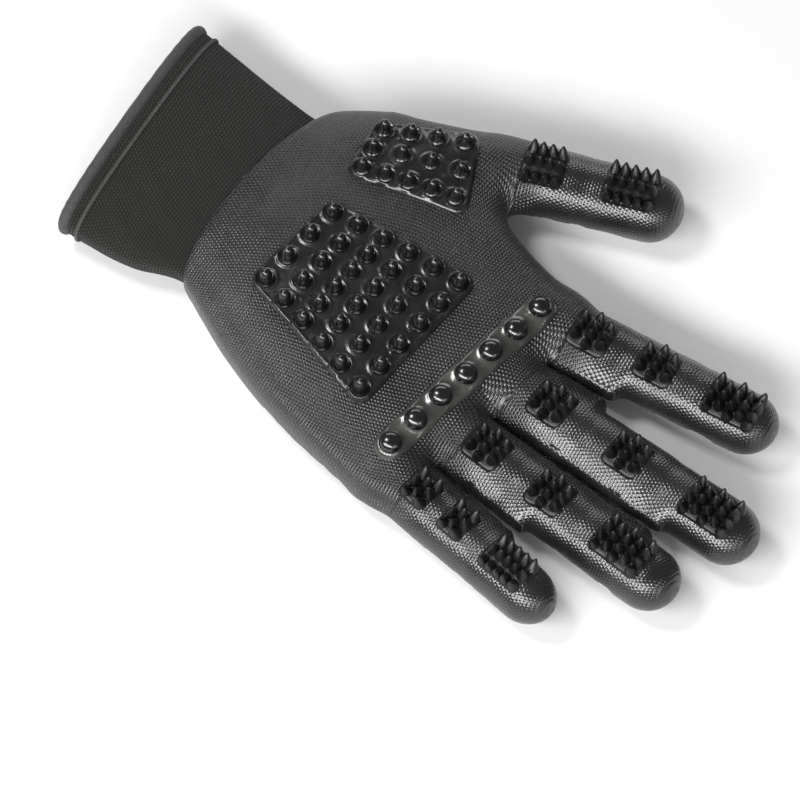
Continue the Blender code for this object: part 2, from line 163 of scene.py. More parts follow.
@dataclass
class Sheet:
    """Points and quads of one piece, with what its material reads at each point."""

    points: Array
    quads: Array
    place: Array | None = None  # along and across the knit, in millimetres
    coat: Array | None = None  # 1 where rubber covers the knit
    normals: Array | None = None

    def joined(self, *others: "Sheet") -> "Sheet":
        """This sheet and others as one."""
        every = (self, *others)
        starts = np.cumsum([0, *(len(sheet.points) for sheet in every[:-1])])
        return Sheet(
            np.concatenate([sheet.points for sheet in every]),
            np.concatenate([sheet.quads + start for sheet, start in zip(every, starts)]),
        )

    def build(self, name: str, material: bpy.types.Material) -> bpy.types.Object:
        """Makes the object.

        Args:
            name: The piece's name.
            material: Its finish.

        Returns:
            The object, with its place in its mesh.
        """
        mesh = bpy.data.meshes.new(name)
        quads = self.quads
        mesh.vertices.add(len(self.points))
        mesh.vertices.foreach_set("co", to_row(self.points).astype(np.float32).ravel())
        mesh.loops.add(quads.size)
        mesh.loops.foreach_set("vertex_index", quads.astype(np.int32).ravel())
        mesh.polygons.add(len(quads))
        mesh.polygons.foreach_set("loop_start", np.arange(0, quads.size, 4, dtype=np.int32))
        mesh.update(calc_edges=True)
        mesh.validate()
        place = self.place if self.place is not None else self.points
        for layer, values in (("knit_place", place), ("rest_place", self.points)):
            attribute = mesh.attributes.new(layer, "FLOAT_VECTOR", "POINT")
            attribute.data.foreach_set("vector", values.astype(np.float32).ravel())
        if self.coat is not None:
            attribute = mesh.attributes.new("coat_share", "FLOAT", "POINT")
            attribute.data.foreach_set("value", self.coat.astype(np.float32))
        mesh.shade_smooth()
        if self.normals is not None:
            mesh.normals_split_custom_set_from_vertices(self.normals.tolist())
        mesh.materials.append(material)
        piece = bpy.data.objects.new(name, mesh)
        bpy.context.scene.collection.objects.link(piece)
        log.info("%s: %d faces", name, len(mesh.polygons))
        return piece


def grid_quads(rows: int, columns: int, closed: bool) -> Array:
    """Quads between the points of a grid, stored row by row.

    Args:
        rows: Number of rows.
        columns: Points in a row.
        closed: Whether each row's last point joins its first.

    Returns:
        Four indices for each quad.
    """
    i, j = np.meshgrid(np.arange(rows - 1), np.arange(columns if closed else columns - 1), indexing="ij")
    after = (j + 1) % columns
    here, above = i * columns, (i + 1) * columns
    return np.stack([here + j, here + after, above + after, above + j], -1).reshape(-1, 4)


def turned(profile: Array, feet: Array, normals: Array, sides: int) -> Sheet:
    """The same turned form stood on many places.

    Point = foot + r(t)*(cos(a)*U + sin(a)*V) + h(t)*N, where U and V are square to the normal N.

    Args:
        profile: Radius and height from foot to top, ending on the axis.
        feet: Where each form stands.
        normals: Its direction.
        sides: Points round each form.

    Returns:
        All of them as one sheet.
    """
    turns = np.arange(sides) * 2 * math.pi / sides
    side = unit(np.cross(normals, [0.0, 1.0, 0.3]))
    other = np.cross(normals, side)
    ring = np.cos(turns)[None, :, None] * side[:, None, :] + np.sin(turns)[None, :, None] * other[:, None, :]
    profile = np.asarray(profile)
    points = feet[:, None, None, :] + profile[None, :, 0, None, None] * ring[:, None, :, :]
    points = points + profile[None, :, 1, None, None] * normals[:, None, None, :]
    quads = grid_quads(len(profile), sides, closed=True)
    starts = np.arange(len(feet)) * len(profile) * sides
    quads = (quads[None, :, :] + starts[:, None, None]).reshape(-1, 4)
    return Sheet(points.reshape(-1, 3), quads)


# ---------------------------------------------------------------- the skin's field


@dataclass(frozen=True)
class Digit:
    """One finger or the thumb, in millimetres along its own axis from its first hinge."""

    name: str
    first_joint: str
    base_height: float
    rise: float
    half_width: tuple[float, float]
    half_height: tuple[float, float]
    length: float
    segments: tuple[str, ...]
    zones: tuple[tuple[float, float], ...]  # where the skin turns from each segment to the next
    pads: tuple[tuple, ...]  # of each segment: middle, half-length, half-width, spikes in each row
    dome: float = 11.0
    root: float = 22.0

    @property
    def hinge(self) -> Array:
        """The first hinge's place."""
        return np.array(JOINTS[self.first_joint]["pos_m"]) / MM + HEM

    @property
    def axis(self) -> Array:
        """The direction of the digit: the hinge's axis turned a quarter turn about Z."""
        x, y, _ = JOINTS[self.first_joint]["axis"]
        return np.array([-y, x, 0.0])

    @property
    def side(self) -> Array:
        """The direction across the digit, towards the thumb."""
        ahead = self.axis
        return np.array([-ahead[1], ahead[0], 0.0])

    def along_across(self, points: Array) -> tuple[Array, Array]:
        """How far each point lies along and across the digit."""
        away = points - self.hinge
        return away @ self.axis, away @ self.side

    def size_at(self, along: Array) -> tuple[Array, Array, Array]:
        """Half-width, half-height and axis height at a distance along, without the dome."""
        share = np.clip(along / self.length, 0.0, 1.0)
        sunk = 1.0 - 0.75 * np.clip(-along / self.root, 0.0, 1.0) ** 2
        wide = (self.half_width[0] + (self.half_width[1] - self.half_width[0]) * share) * sunk
        high = (self.half_height[0] + (self.half_height[1] - self.half_height[0]) * share) * sunk
        return wide, high, self.base_height + self.rise * share

    def field(self, points: Array) -> Array:
        """Roughly the distance outside a tapered oval tube with a domed tip.

        With q = (t/a)^2 + (z/b)^2 + (s'/d)^2, s' being the distance into the dome, the field is
        (sqrt(q) - 1) / |gradient of sqrt(q)|.
        """
        along, across = self.along_across(points)
        wide, high, middle = self.size_at(along)
        up = points[..., 2] - middle
        into = np.maximum(along - (self.length - self.dome), 0.0)
        radius = np.sqrt((across / wide) ** 2 + (up / high) ** 2 + (into / self.dome) ** 2)
        slope = np.sqrt((across / wide**2) ** 2 + (up / high**2) ** 2 + (into / self.dome**2) ** 2)
        tube = (radius - 1.0) * np.maximum(radius, 1e-4) / np.maximum(slope, 1e-4)
        return np.maximum(tube, -self.root - along)

    def laid(self, across: Array, along: Array, above: float = 3.0) -> Array:
        """Points over the palm side, from distances round and along the digit."""
        wide, high, middle = self.size_at(along)
        turn = across / wide
        into = np.clip((along - self.length + self.dome) / (self.dome + above), 0.0, 0.995)
        shrink = np.sqrt(1.0 - into**2)
        start = self.hinge * (1, 1, 0)
        ground = start + np.multiply.outer(along, self.axis)
        ground = ground + ((wide + above) * shrink * np.sin(turn))[..., None] * self.side
        ground[..., 2] += middle + (high + above) * shrink * np.cos(turn)
        return ground


def finger(name: str, widths: tuple, length: float, zones: tuple, pads: tuple) -> Digit:
    """A finger of three segments."""
    return Digit(
        name, f"{name}_knuckle", 9.2, 1.0, widths, (9.9, 9.3), length,
        ("proximal", "middle", "distal"), zones, pads,
    )  # fmt: skip


@dataclass
class PalmForm:
    """The palm as sections across the hand, front and back edges included."""

    # distance from the hem, little-finger side, thumb side, top height
    stations: tuple = (
        (36, -31.5, 40.0, 20.6), (42, -32.9, 41.2, 21.6), (52, -37.5, 49, 23.0), (64, -43.5, 57, 25),
        (82, -51, 61.5, 26), (98, -55.5, 58, 26), (110, -58, 50, 25.5), (122, -60, 43.5, 24.5),
        (137, -61.8, 40, 22.5), (151.9, -62.5, 39.2, 20.4), (165, -62.5, 39.2, 19.6),
    )  # fmt: skip
    squareness: float = 3.2
    front: float = 152.0
    front_slant: float = 0.1

    def __post_init__(self) -> None:
        """Lays the stations out finely and rounds their corners with a bell-shaped average."""
        self.run = np.arange(20.0, 190.0, 0.5)
        self.fine = rounded_run(self.stations, self.run, 30, 5.0)

    def section(self, along: Array) -> tuple[Array, Array, Array, Array]:
        """Middle and half-width across, middle height and half-height at a distance from the hem."""
        low, high, top = (np.interp(along, self.run, row) for row in self.fine)
        half = (top + KNIT_DEPTH) / (1 + BACK_SHARE)
        return (high + low) / 2, (high - low) / 2, half * BACK_SHARE - KNIT_DEPTH + 0.04, half

    def field(self, points: Array) -> Array:
        """Roughly the distance outside a squared oval, |y/a|^p + |z/b|^p = 1, cut flat at its back."""
        centre, wide, middle, high = self.section(points[..., 0])
        y, z = np.abs(points[..., 1] - centre) / wide, np.abs(points[..., 2] - middle) / high
        power = self.squareness
        total = np.maximum(y**power + z**power, 1e-6)
        radius = total ** (1 / power)
        slope = np.hypot(y ** (power - 1) / wide, z ** (power - 1) / high) * total ** (1 / power - 1)
        oval = (radius - 1.0) / np.maximum(slope, 1e-3)
        body = smooth_max(oval, -KNIT_DEPTH - points[..., 2], 3.0)
        front = points[..., 0] - self.front - self.front_slant * (points[..., 1] - centre)
        body = smooth_max(body, front, 9.0)
        return smooth_max(body, self.wrist_edge(points) - points[..., 0], 3.2)

    def wrist_edge(self, points: Array) -> Array:
        """Where the palm ends over the cuff: an arc that bows towards the hem."""
        return 40.6 + 4.6 * ((points[..., 1] - 3.0) / 36.0) ** 2


@dataclass
class GloveForm:
    """The whole skin as one field, zero on the outside of the rubber coat."""

    palm: PalmForm
    fingers: tuple[Digit, ...]
    thumb: Digit
    crotches: tuple[float, ...] = (159.5, 158.0, 155.0)  # how far from the hem the skin stays joined
    # how full the valley between two fingers is at its root and near its end, and where it ends
    gussets: tuple = ((11.0, 19.0, 190.0), (5.0, 14.5, 231.0), (7.0, 16.5, 196.0))
    slot: float = 0.5  # half the least gap between neighbouring fingers
    slot_depth: float = 14.0
    palm_join: float = 7.0  # how rounded the joins are
    thumb_join: float = 11.0

    @property
    def digits(self) -> tuple[Digit, ...]:
        """The fingers and then the thumb."""
        return (*self.fingers, self.thumb)

    def field(self, points: Array) -> Array:
        """The palm and digits joined with rounded corners, and slots cut between neighbouring fingers."""
        tubes = [digit.field(points) for digit in self.fingers]
        hand = tubes[0]
        for tube, (root, fullest, end) in zip(tubes[1:], self.gussets):
            along = points[..., 0]
            fullness = root + (fullest - root) * np.clip((along - 154.0) / (end - 160.0), 0.0, 1.0)
            hand = smooth_min(hand, tube, 2.0 + (fullness - 2.0) * (1.0 - smooth_step(end - 9.0, end, along)))
        hand = smooth_min(self.palm.field(points), hand, self.palm_join)
        hand = smooth_min(hand, self.thumb.field(points), self.thumb_join)
        for first, second, crotch in zip(tubes, tubes[1:], self.crotches):
            between = self.slot - np.abs(first - second) / 2
            near = self.slot_depth - np.minimum(first, second)
            gap = np.minimum(np.minimum(between, points[..., 0] - crotch), near)
            hand = smooth_max(hand, gap, 1.6)
        return smooth_max(hand + self.unevenness(points), -1.05 - points[..., 2], 1.2)

    def unevenness(self, points: Array) -> Array:
        """Slack and soft folds of worn-in fabric: two sizes of ripple, and a shallow pinch at each joint."""
        slack = 0.17 * ripple(points, 31.0, (0.3, 1.5, 2.6)) + 0.04 * ripple(points, 14.0, (0.9, 2.2, 3.0))
        for digit in self.digits:
            along, across = digit.along_across(points)
            near = np.abs(across) < digit.half_width[0] + 4
            for start, end in digit.zones[1:]:
                slack = slack + near * 0.18 * np.exp(-(((along - (start + end) / 2) / 2.6) ** 2))
        return slack

    def gradient(self, points: Array) -> Array:
        """The field's slope at each point, from differences over a tenth of a millimetre."""
        steps = np.eye(3) * 0.05
        return np.stack([self.field(points + step) - self.field(points - step) for step in steps], -1) / 0.1

    def settled(self, points: Array, rounds: int = 4) -> Array:
        """Points moved straight onto the skin: p - f * g / |g|^2, a few times."""
        for _ in range(rounds):
            slope = self.gradient(points)
            size = np.maximum((slope**2).sum(-1), 0.05)
            move = np.clip(self.field(points) / size, -1.5, 1.5)
            points = points - move[..., None] * slope
        return points

    def dropped(self, ground: Array) -> Array:
        """Points of the palm side straight under each place: z falls by the field until it is zero."""
        points = np.concatenate([ground, np.full((*ground.shape[:-1], 1), 34.0)], -1)
        for _ in range(40):
            points[..., 2] -= 0.8 * self.field(points)
        return points

    def normals(self, points: Array) -> Array:
        """The skin's direction at each point."""
        return unit(self.gradient(points))


@dataclass
class SkinNet:
    """Reads the zero surface of the field off a regular lattice, one point to a cell."""

    form: GloveForm
    low: tuple[float, float, float] = (36.0, -68.0, -3.2)
    high: tuple[float, float, float] = (257.0, 99.0, 30.4)
    step: float = 0.9

    def lattice(self) -> Array:
        """The field at every lattice point, worked out in slabs to spare memory."""
        axes = [np.arange(a, b, self.step) for a, b in zip(self.low, self.high)]
        slabs = []
        for part in np.array_split(axes[0], 12):
            x, y, z = np.meshgrid(part, axes[1], axes[2], indexing="ij")
            slabs.append(self.form.field(np.stack([x, y, z], -1)).astype(np.float32))
        return np.concatenate(slabs)

    def surface(self) -> tuple[Array, Array]:
        """Points and quads of the surface.

        A cell that the surface crosses gets one point, the mean of the crossings of its twelve edges. Each
        crossed lattice edge gets one quad, between the four cells that share it, turned to face outwards.
        """
        value = self.lattice()
        inside = value < 0
        shape = np.array(value.shape) - 1
        corners = np.array([(i, j, k) for i in (0, 1) for j in (0, 1) for k in (0, 1)])
        windows = [tuple(slice(c, c + n) for c, n in zip(corner, shape)) for corner in corners]
        count = sum(inside[window].astype(np.int8) for window in windows)
        cells = np.argwhere((count > 0) & (count < 8))
        at = np.stack([value[window][tuple(cells.T)] for window in windows], 1).astype(float)
        total, crossings = np.zeros((len(cells), 3)), np.zeros(len(cells))
        for a in range(8):
            for b in range(a + 1, 8):
                if np.abs(corners[a] - corners[b]).sum() != 1:
                    continue
                crossed = (at[:, a] < 0) != (at[:, b] < 0)
                share = np.where(crossed, at[:, a] / np.where(crossed, at[:, a] - at[:, b], 1.0), 0.0)
                point = corners[a] + share[:, None] * (corners[b] - corners[a])
                total += point * crossed[:, None]
                crossings += crossed
        points = (cells + total / crossings[:, None]) * self.step + self.low
        number = np.full(shape, -1)
        number[tuple(cells.T)] = np.arange(len(cells))
        quads = [self.edge_quads(inside, number, axis) for axis in range(3)]
        return points, np.concatenate(quads)

    def edge_quads(self, inside: Array, number: Array, axis: int) -> Array:
        """Quads round the crossed lattice edges that run along one axis."""
        one, two = (axis + 1) % 3, (axis + 2) % 3
        ahead = [slice(None)] * 3
        ahead[axis] = slice(1, None)
        behind = [slice(None)] * 3
        behind[axis] = slice(None, -1)
        crossed = np.argwhere(inside[tuple(behind)] != inside[tuple(ahead)])
        far = np.array(number.shape)
        ok = (crossed[:, one] > 0) & (crossed[:, two] > 0) & (crossed < far).all(1)
        crossed = crossed[ok]
        unit_one, unit_two = np.eye(3, dtype=int)[[one, two]]
        ring = [crossed - unit_one - unit_two, crossed - unit_two, crossed, crossed - unit_one]
        quads = np.stack([number[tuple(cell.T)] for cell in ring], 1)
        outward = inside[tuple(crossed.T)]
        return np.where(outward[:, None], quads, quads[:, ::-1])


# ---------------------------------------------------------------- finishes


@dataclass
class NodeDesk:
    """Adds shader nodes to a tree and joins them."""

    tree: bpy.types.NodeTree

    def add(self, kind: str, **settings: object) -> bpy.types.Node:
        """A new node with its settings."""
        node = self.tree.nodes.new(kind)
        for key, value in settings.items():
            setattr(node, key, value)
        return node

    def feed(self, target: Socket, source: "Socket | float | tuple") -> None:
        """Links a socket, or sets it to a value."""
        if isinstance(source, bpy.types.NodeSocket):
            self.tree.links.new(source, target)
        else:
            target.default_value = source

    def run(self, kind: str, *inputs: "Socket | float", **settings: object) -> bpy.types.NodeOutputs:
        """The outputs of a new node whose first inputs are fed in order."""
        node = self.add(kind, **settings)
        for socket, source in zip(node.inputs, inputs):
            self.feed(socket, source)
        return node.outputs

    def math(self, operation: str, *inputs: "Socket | float") -> Socket:
        """The result of one Math node."""
        return self.run("ShaderNodeMath", *inputs, operation=operation)[0]

    def spread(self, *inputs: "Socket | float") -> Socket:
        """A value mapped smoothly from one range to another, which is 0 to 1 unless two more numbers say."""
        return self.run("ShaderNodeMapRange", *inputs, interpolation_type="SMOOTHSTEP")[0]

    def blend(self, share: "Socket | float", first: "Socket | tuple", second: "Socket | tuple") -> Socket:
        """A mix of two colours."""
        node = self.add("ShaderNodeMix", data_type="RGBA")
        self.feed(node.inputs[0], share)
        self.feed(node.inputs[6], first)
        self.feed(node.inputs[7], second)
        return node.outputs[2]

    def noise(self, place: Socket, scale: float, detail: float = 2.0) -> Socket:
        """The value of a Noise node."""
        node = self.add("ShaderNodeTexNoise")
        self.feed(node.inputs["Vector"], place)
        self.feed(node.inputs["Scale"], scale)
        self.feed(node.inputs["Detail"], detail)
        return node.outputs["Fac"]

    def layer(self, name: str, part: str = "Vector") -> Socket:
        """One of a piece's own layers."""
        return self.add("ShaderNodeAttribute", attribute_name=name).outputs[part]

    def group(self, tree: bpy.types.NodeTree, **inputs: "Socket | float") -> bpy.types.Node:
        """A group placed with its own values; an underscore stands for a space in a socket's name."""
        node = self.add("ShaderNodeGroup", node_tree=tree)
        for key, source in inputs.items():
            self.feed(node.inputs[key.replace("_", " ").capitalize()], source)
        return node


def open_group(name: str, inputs: dict[str, float | None], outputs: tuple[str, ...]) -> tuple:
    """Starts a node group.

    Args:
        name: The group's name.
        inputs: Each input's starting value, or None for a vector.
        outputs: Names of its value outputs.

    Returns:
        The tree, a desk for it, its inputs and its outputs.
    """
    tree = bpy.data.node_groups.new(name, "ShaderNodeTree")
    for key, value in inputs.items():
        kind = "NodeSocketVector" if value is None else "NodeSocketFloat"
        socket = tree.interface.new_socket(key, in_out="INPUT", socket_type=kind)
        if value is not None:
            socket.default_value = value
    for key in outputs:
        tree.interface.new_socket(key, in_out="OUTPUT", socket_type="NodeSocketFloat")
    desk = NodeDesk(tree)
    start, end = desk.add("NodeGroupInput"), desk.add("NodeGroupOutput")
    return tree, desk, start.outputs, end.inputs


def knit_group() -> bpy.types.NodeTree:
    """Rows of short stitches, every other row set half a stitch along.

    Height = (0.5 + 0.5 cos(2 pi u))^0.7 * (0.5 + 0.5 cos(2 pi v)), u and v in stitches with a little noise.
    """
    inputs = {"Place": None, "Pitch across": 1.05, "Pitch along": 1.05, "Wander": 0.25}
    tree, desk, given, result = open_group("knit_stitches", inputs, ("Height", "Stitch"))
    split = desk.run("ShaderNodeSeparateXYZ", given["Place"])
    drift = desk.math("MULTIPLY", desk.math("SUBTRACT", desk.noise(given["Place"], 0.16), 0.5), 4.0)
    drift = desk.math("MULTIPLY", drift, given["Wander"])
    v = desk.math("DIVIDE", desk.math("ADD", split[0], drift), given["Pitch along"])
    row = desk.math("FLOOR", desk.math("ADD", v, 0.5))
    shift = desk.math("MULTIPLY", desk.math("PINGPONG", row, 1.0), 0.5)
    u = desk.math("ADD", desk.math("DIVIDE", split[1], given["Pitch across"]), shift)
    waves = [
        desk.math("MULTIPLY_ADD", desk.math("COSINE", desk.math("MULTIPLY", way, 2 * math.pi)), 0.5, 0.5)
        for way in (u, v)
    ]
    across, along = desk.math("POWER", waves[0], 0.7), waves[1]
    height = desk.math("MULTIPLY", across, along)
    desk.feed(result["Height"], height)
    desk.feed(result["Stitch"], desk.spread(height, 0.35, 0.8))
    return tree


def grain_group() -> bpy.types.NodeTree:
    """Unevenness at two sizes, as broad patches and as fine specks."""
    inputs = {"Place": None, "Size": 1.0}
    tree, desk, given, result = open_group("uneven_grain", inputs, ("Patches", "Specks"))
    desk.feed(result["Patches"], desk.noise(given["Place"], desk.math("DIVIDE", 0.06, given["Size"]), 3.0))
    desk.feed(result["Specks"], desk.noise(given["Place"], desk.math("DIVIDE", 1.3, given["Size"]), 2.0))
    return tree


def lint_group() -> bpy.types.NodeTree:
    """Sparse pale lint and dust: the tops of a fine noise, thinned by a broad one."""
    tree, desk, given, result = open_group("lint_and_dust", {"Place": None, "Amount": 0.5}, ("Mask",))
    fine = desk.spread(desk.noise(given["Place"], 2.6, 1.0), 0.66, 0.76)
    broad = desk.spread(desk.noise(given["Place"], 0.09, 2.0), 0.45, 0.7)
    mask = desk.math("MULTIPLY", desk.math("MULTIPLY", fine, broad), given["Amount"])
    desk.feed(result["Mask"], mask)
    return tree


@dataclass
class Patterns:
    """The node groups that the finishes share."""

    knit: bpy.types.NodeTree
    grain: bpy.types.NodeTree
    lint: bpy.types.NodeTree


class Dressing:
    """A material under way, with its shader and what the glove's finishes read."""

    def __init__(self, name: str, patterns: Patterns, size: float) -> None:
        """Starts a material.

        Args:
            name: The material's name.
            patterns: The shared node groups.
            size: The size of its grain.
        """
        self.material = bpy.data.materials.new(name)
        self.material.use_nodes = True
        self.shader = self.material.node_tree.nodes["Principled BSDF"]
        self.patterns = patterns
        self.desk = desk = NodeDesk(self.material.node_tree)
        self.rest = desk.layer("rest_place")
        grain = desk.group(patterns.grain, place=self.rest, size=size).outputs
        self.patches, self.specks = grain["Patches"], grain["Specks"]

    def knit(self, across: float, along: float, wander: float) -> tuple[Socket, Socket]:
        """The height of stitches of a pitch, and where their tops are."""
        place = self.desk.layer("knit_place")
        pitches = {"pitch_across": across, "pitch_along": along}
        made = self.desk.group(self.patterns.knit, place=place, wander=wander, **pitches)
        return made.outputs["Height"], made.outputs["Stitch"]

    def linted(self, colour: Socket, amount: float, lint: tuple) -> Socket:
        """A colour with sparse lint of another colour on it."""
        mask = self.desk.group(self.patterns.lint, place=self.rest, amount=amount).outputs["Mask"]
        return self.desk.blend(mask, colour, lint)

    def finish(self, *bumps: tuple[Socket, float], **parts: "Socket | float") -> bpy.types.Material:
        """Feeds the shader and gives the material.

        Args:
            bumps: Stacked layers, each a height of 0 to 1 and its depth in metres.
            parts: The shader's inputs; an underscore stands for a space in a socket's name.

        Returns:
            The material.
        """
        for key, source in parts.items():
            self.desk.feed(self.shader.inputs[key.replace("_", " ")], source)
        normal = None
        for height, depth in bumps:
            bump = self.desk.add("ShaderNodeBump")
            bump.inputs["Distance"].default_value = depth
            self.desk.feed(bump.inputs["Height"], height)
            if normal is not None:
                self.desk.feed(bump.inputs["Normal"], normal)
            normal = bump.outputs[0]
        if normal is not None:
            self.desk.feed(self.shader.inputs["Normal"], normal)
        return self.material


@dataclass(frozen=True)
class CoatedKnit:
    """Black rubber dipped over fine knit, which stays bare on the back of the hand."""

    name: str = "nitrile_over_knit"
    rubber: tuple = (0.0065, 0.0066, 0.0066, 1.0)
    rubber_worn: tuple = (0.013, 0.013, 0.0128, 1.0)
    yarn: tuple = (0.020, 0.018, 0.017, 1.0)
    # painted shade: the colour of the gaps between stitches of the bare knit
    yarn_gap_shade: tuple = (0.006, 0.0055, 0.005, 1.0)
    pitch_across: float = 1.4
    pitch_along: float = 1.08
    depth: float = 0.00034
    stretched_height: float = 0.28  # the stitches' height along the digits, as a share of the palm's
    bare: float = 0.82  # roughness of the bare yarn

    def make(self, patterns: Patterns) -> bpy.types.Material:
        """Builds the material: stitches show through the rubber as shiny bumps, lower along the digits; on the
        bare knit, painted shade darkens the gaps between stitches.
        """
        dress = Dressing(self.name, patterns, 1.0)
        desk = dress.desk
        height, stitch = dress.knit(self.pitch_across, self.pitch_along, 0.25)
        rubber = desk.blend(desk.spread(dress.patches, 0.35, 0.7), self.rubber, self.rubber_worn)
        coat = desk.layer("coat_share", "Fac")
        # painted shade: on the bare knit the gaps between stitches are darker
        colour = desk.blend(coat, desk.blend(stitch, self.yarn_gap_shade, self.yarn), rubber)
        stretch = desk.run("ShaderNodeSeparateXYZ", desk.layer("knit_place"))[2]
        height = desk.math("MULTIPLY", height, desk.spread(stretch, 0.0, 1.0, 1.0, self.stretched_height))
        smooth = desk.math("MULTIPLY_ADD", stitch, -0.17, 0.34)
        smooth = desk.math("MULTIPLY_ADD", desk.math("SUBTRACT", dress.patches, 0.5), 0.2, smooth)
        smooth = desk.math("MULTIPLY_ADD", stretch, -0.07, smooth)
        rough = desk.math("MULTIPLY_ADD", coat, desk.math("SUBTRACT", smooth, self.bare), self.bare)
        return dress.finish(
            (dress.specks, 0.00005),
            (height, self.depth),
            Base_Color=dress.linted(colour, 0.5, (0.06, 0.06, 0.062, 1.0)),
            Roughness=rough,
            Specular_IOR_Level=0.74,
            Sheen_Weight=0.03,
        )


@dataclass(frozen=True)
class RibbedCuff:
    """Stretchy ribbed knit, matte and warm black."""

    name: str = "ribbed_cuff_knit"
    yarn: tuple = (0.029, 0.0275, 0.0235, 1.0)
    yarn_worn: tuple = (0.021, 0.020, 0.017, 1.0)
    # painted shade: the colour of the gaps between stitches, also blended in as painted shade towards the
    # wrist
    gap: tuple = (0.0065, 0.006, 0.005, 1.0)

    def make(self, patterns: Patterns) -> bpy.types.Material:
        """Builds the material: ribs run from the hem to the wrist, crossed by stitches, with painted shade in
        the gaps between stitches and painted shade darkening the knit towards the wrist.
        """
        dress = Dressing(self.name, patterns, 1.0)
        desk = dress.desk
        height, stitch = dress.knit(1.25, 1.1, 0.12)
        tone = desk.blend(desk.spread(dress.patches, 0.3, 0.7), self.yarn, self.yarn_worn)
        # painted shade: the knit darkens from 24 to 44 mm from the hem, towards the wrist next to the palm's
        # edge
        from_hem = desk.run("ShaderNodeSeparateXYZ", dress.rest)[0]
        tone = desk.blend(desk.spread(from_hem, 24.0, 44.0, 0.0, 0.55), tone, self.gap)
        # painted shade in the gaps between stitches
        colour = desk.blend(stitch, self.gap, tone)
        return dress.finish(
            (dress.specks, 0.0001),
            (height, 0.00055),
            Base_Color=dress.linted(colour, 0.6, (0.10, 0.095, 0.085, 1.0)),
            Roughness=desk.math("MULTIPLY_ADD", dress.specks, 0.12, 0.80),
            Specular_IOR_Level=0.3,
            Sheen_Weight=0.06,
        )


@dataclass(frozen=True)
class BindingYarn:
    """The smooth folded band and the overlock thread at the hem."""

    name: str
    colour: tuple
    pitch: float
    depth: float

    def make(self, patterns: Patterns) -> bpy.types.Material:
        """Builds the material: fine slanting threads over a slightly uneven tone, with painted shade in the
        gaps between stitches.
        """
        dress = Dressing(self.name, patterns, 0.7)
        desk = dress.desk
        height, stitch = dress.knit(self.pitch, self.pitch * 0.6, 0.3)
        # a darker tone, used both for uneven tone at random and as painted shade in the gaps between stitches
        dark = tuple(0.45 * part for part in self.colour[:3]) + (1.0,)
        colour = desk.blend(desk.spread(dress.patches, 0.3, 0.7), self.colour, dark)
        return dress.finish(
            (dress.specks, 0.00008),
            (height, self.depth),
            # painted shade in the gaps between stitches
            Base_Color=desk.blend(stitch, dark, colour),
            Roughness=desk.math("MULTIPLY_ADD", dress.specks, 0.2, 0.52),
            Sheen_Weight=0.05,
        )


@dataclass(frozen=True)
class MouldedRubber:
    """Smooth moulded rubber with a skin of tiny pits."""

    name: str
    colour: tuple
    roughness: float
    coat: float
    specular: float = 0.5
    nub: tuple = (0.004, 0.004, 0.004, 1.0)  # the colour of the domes and nubs

    def make(self, patterns: Patterns) -> bpy.types.Material:
        """Builds the material: glossy, with broad changes of gloss and a little lint."""
        dress = Dressing(self.name, patterns, 0.5)
        desk = dress.desk
        light = tuple(1.9 * part for part in self.colour[:3]) + (1.0,)
        colour = desk.blend(desk.spread(dress.patches, 0.4, 0.7), self.colour, light)
        colour = desk.blend(desk.layer("coat_share", "Fac"), colour, self.nub)
        return dress.finish(
            (dress.specks, 0.00005),
            Base_Color=dress.linted(colour, 0.35, (0.07, 0.07, 0.07, 1.0)),
            Roughness=desk.math("MULTIPLY_ADD", dress.patches, 0.22, self.roughness - 0.08),
            Coat_Weight=desk.math("MULTIPLY_ADD", dress.patches, 0.2, self.coat),
            Coat_Roughness=0.08,
            Specular_IOR_Level=self.specular,
        )


# ---------------------------------------------------------------- sub-assemblies


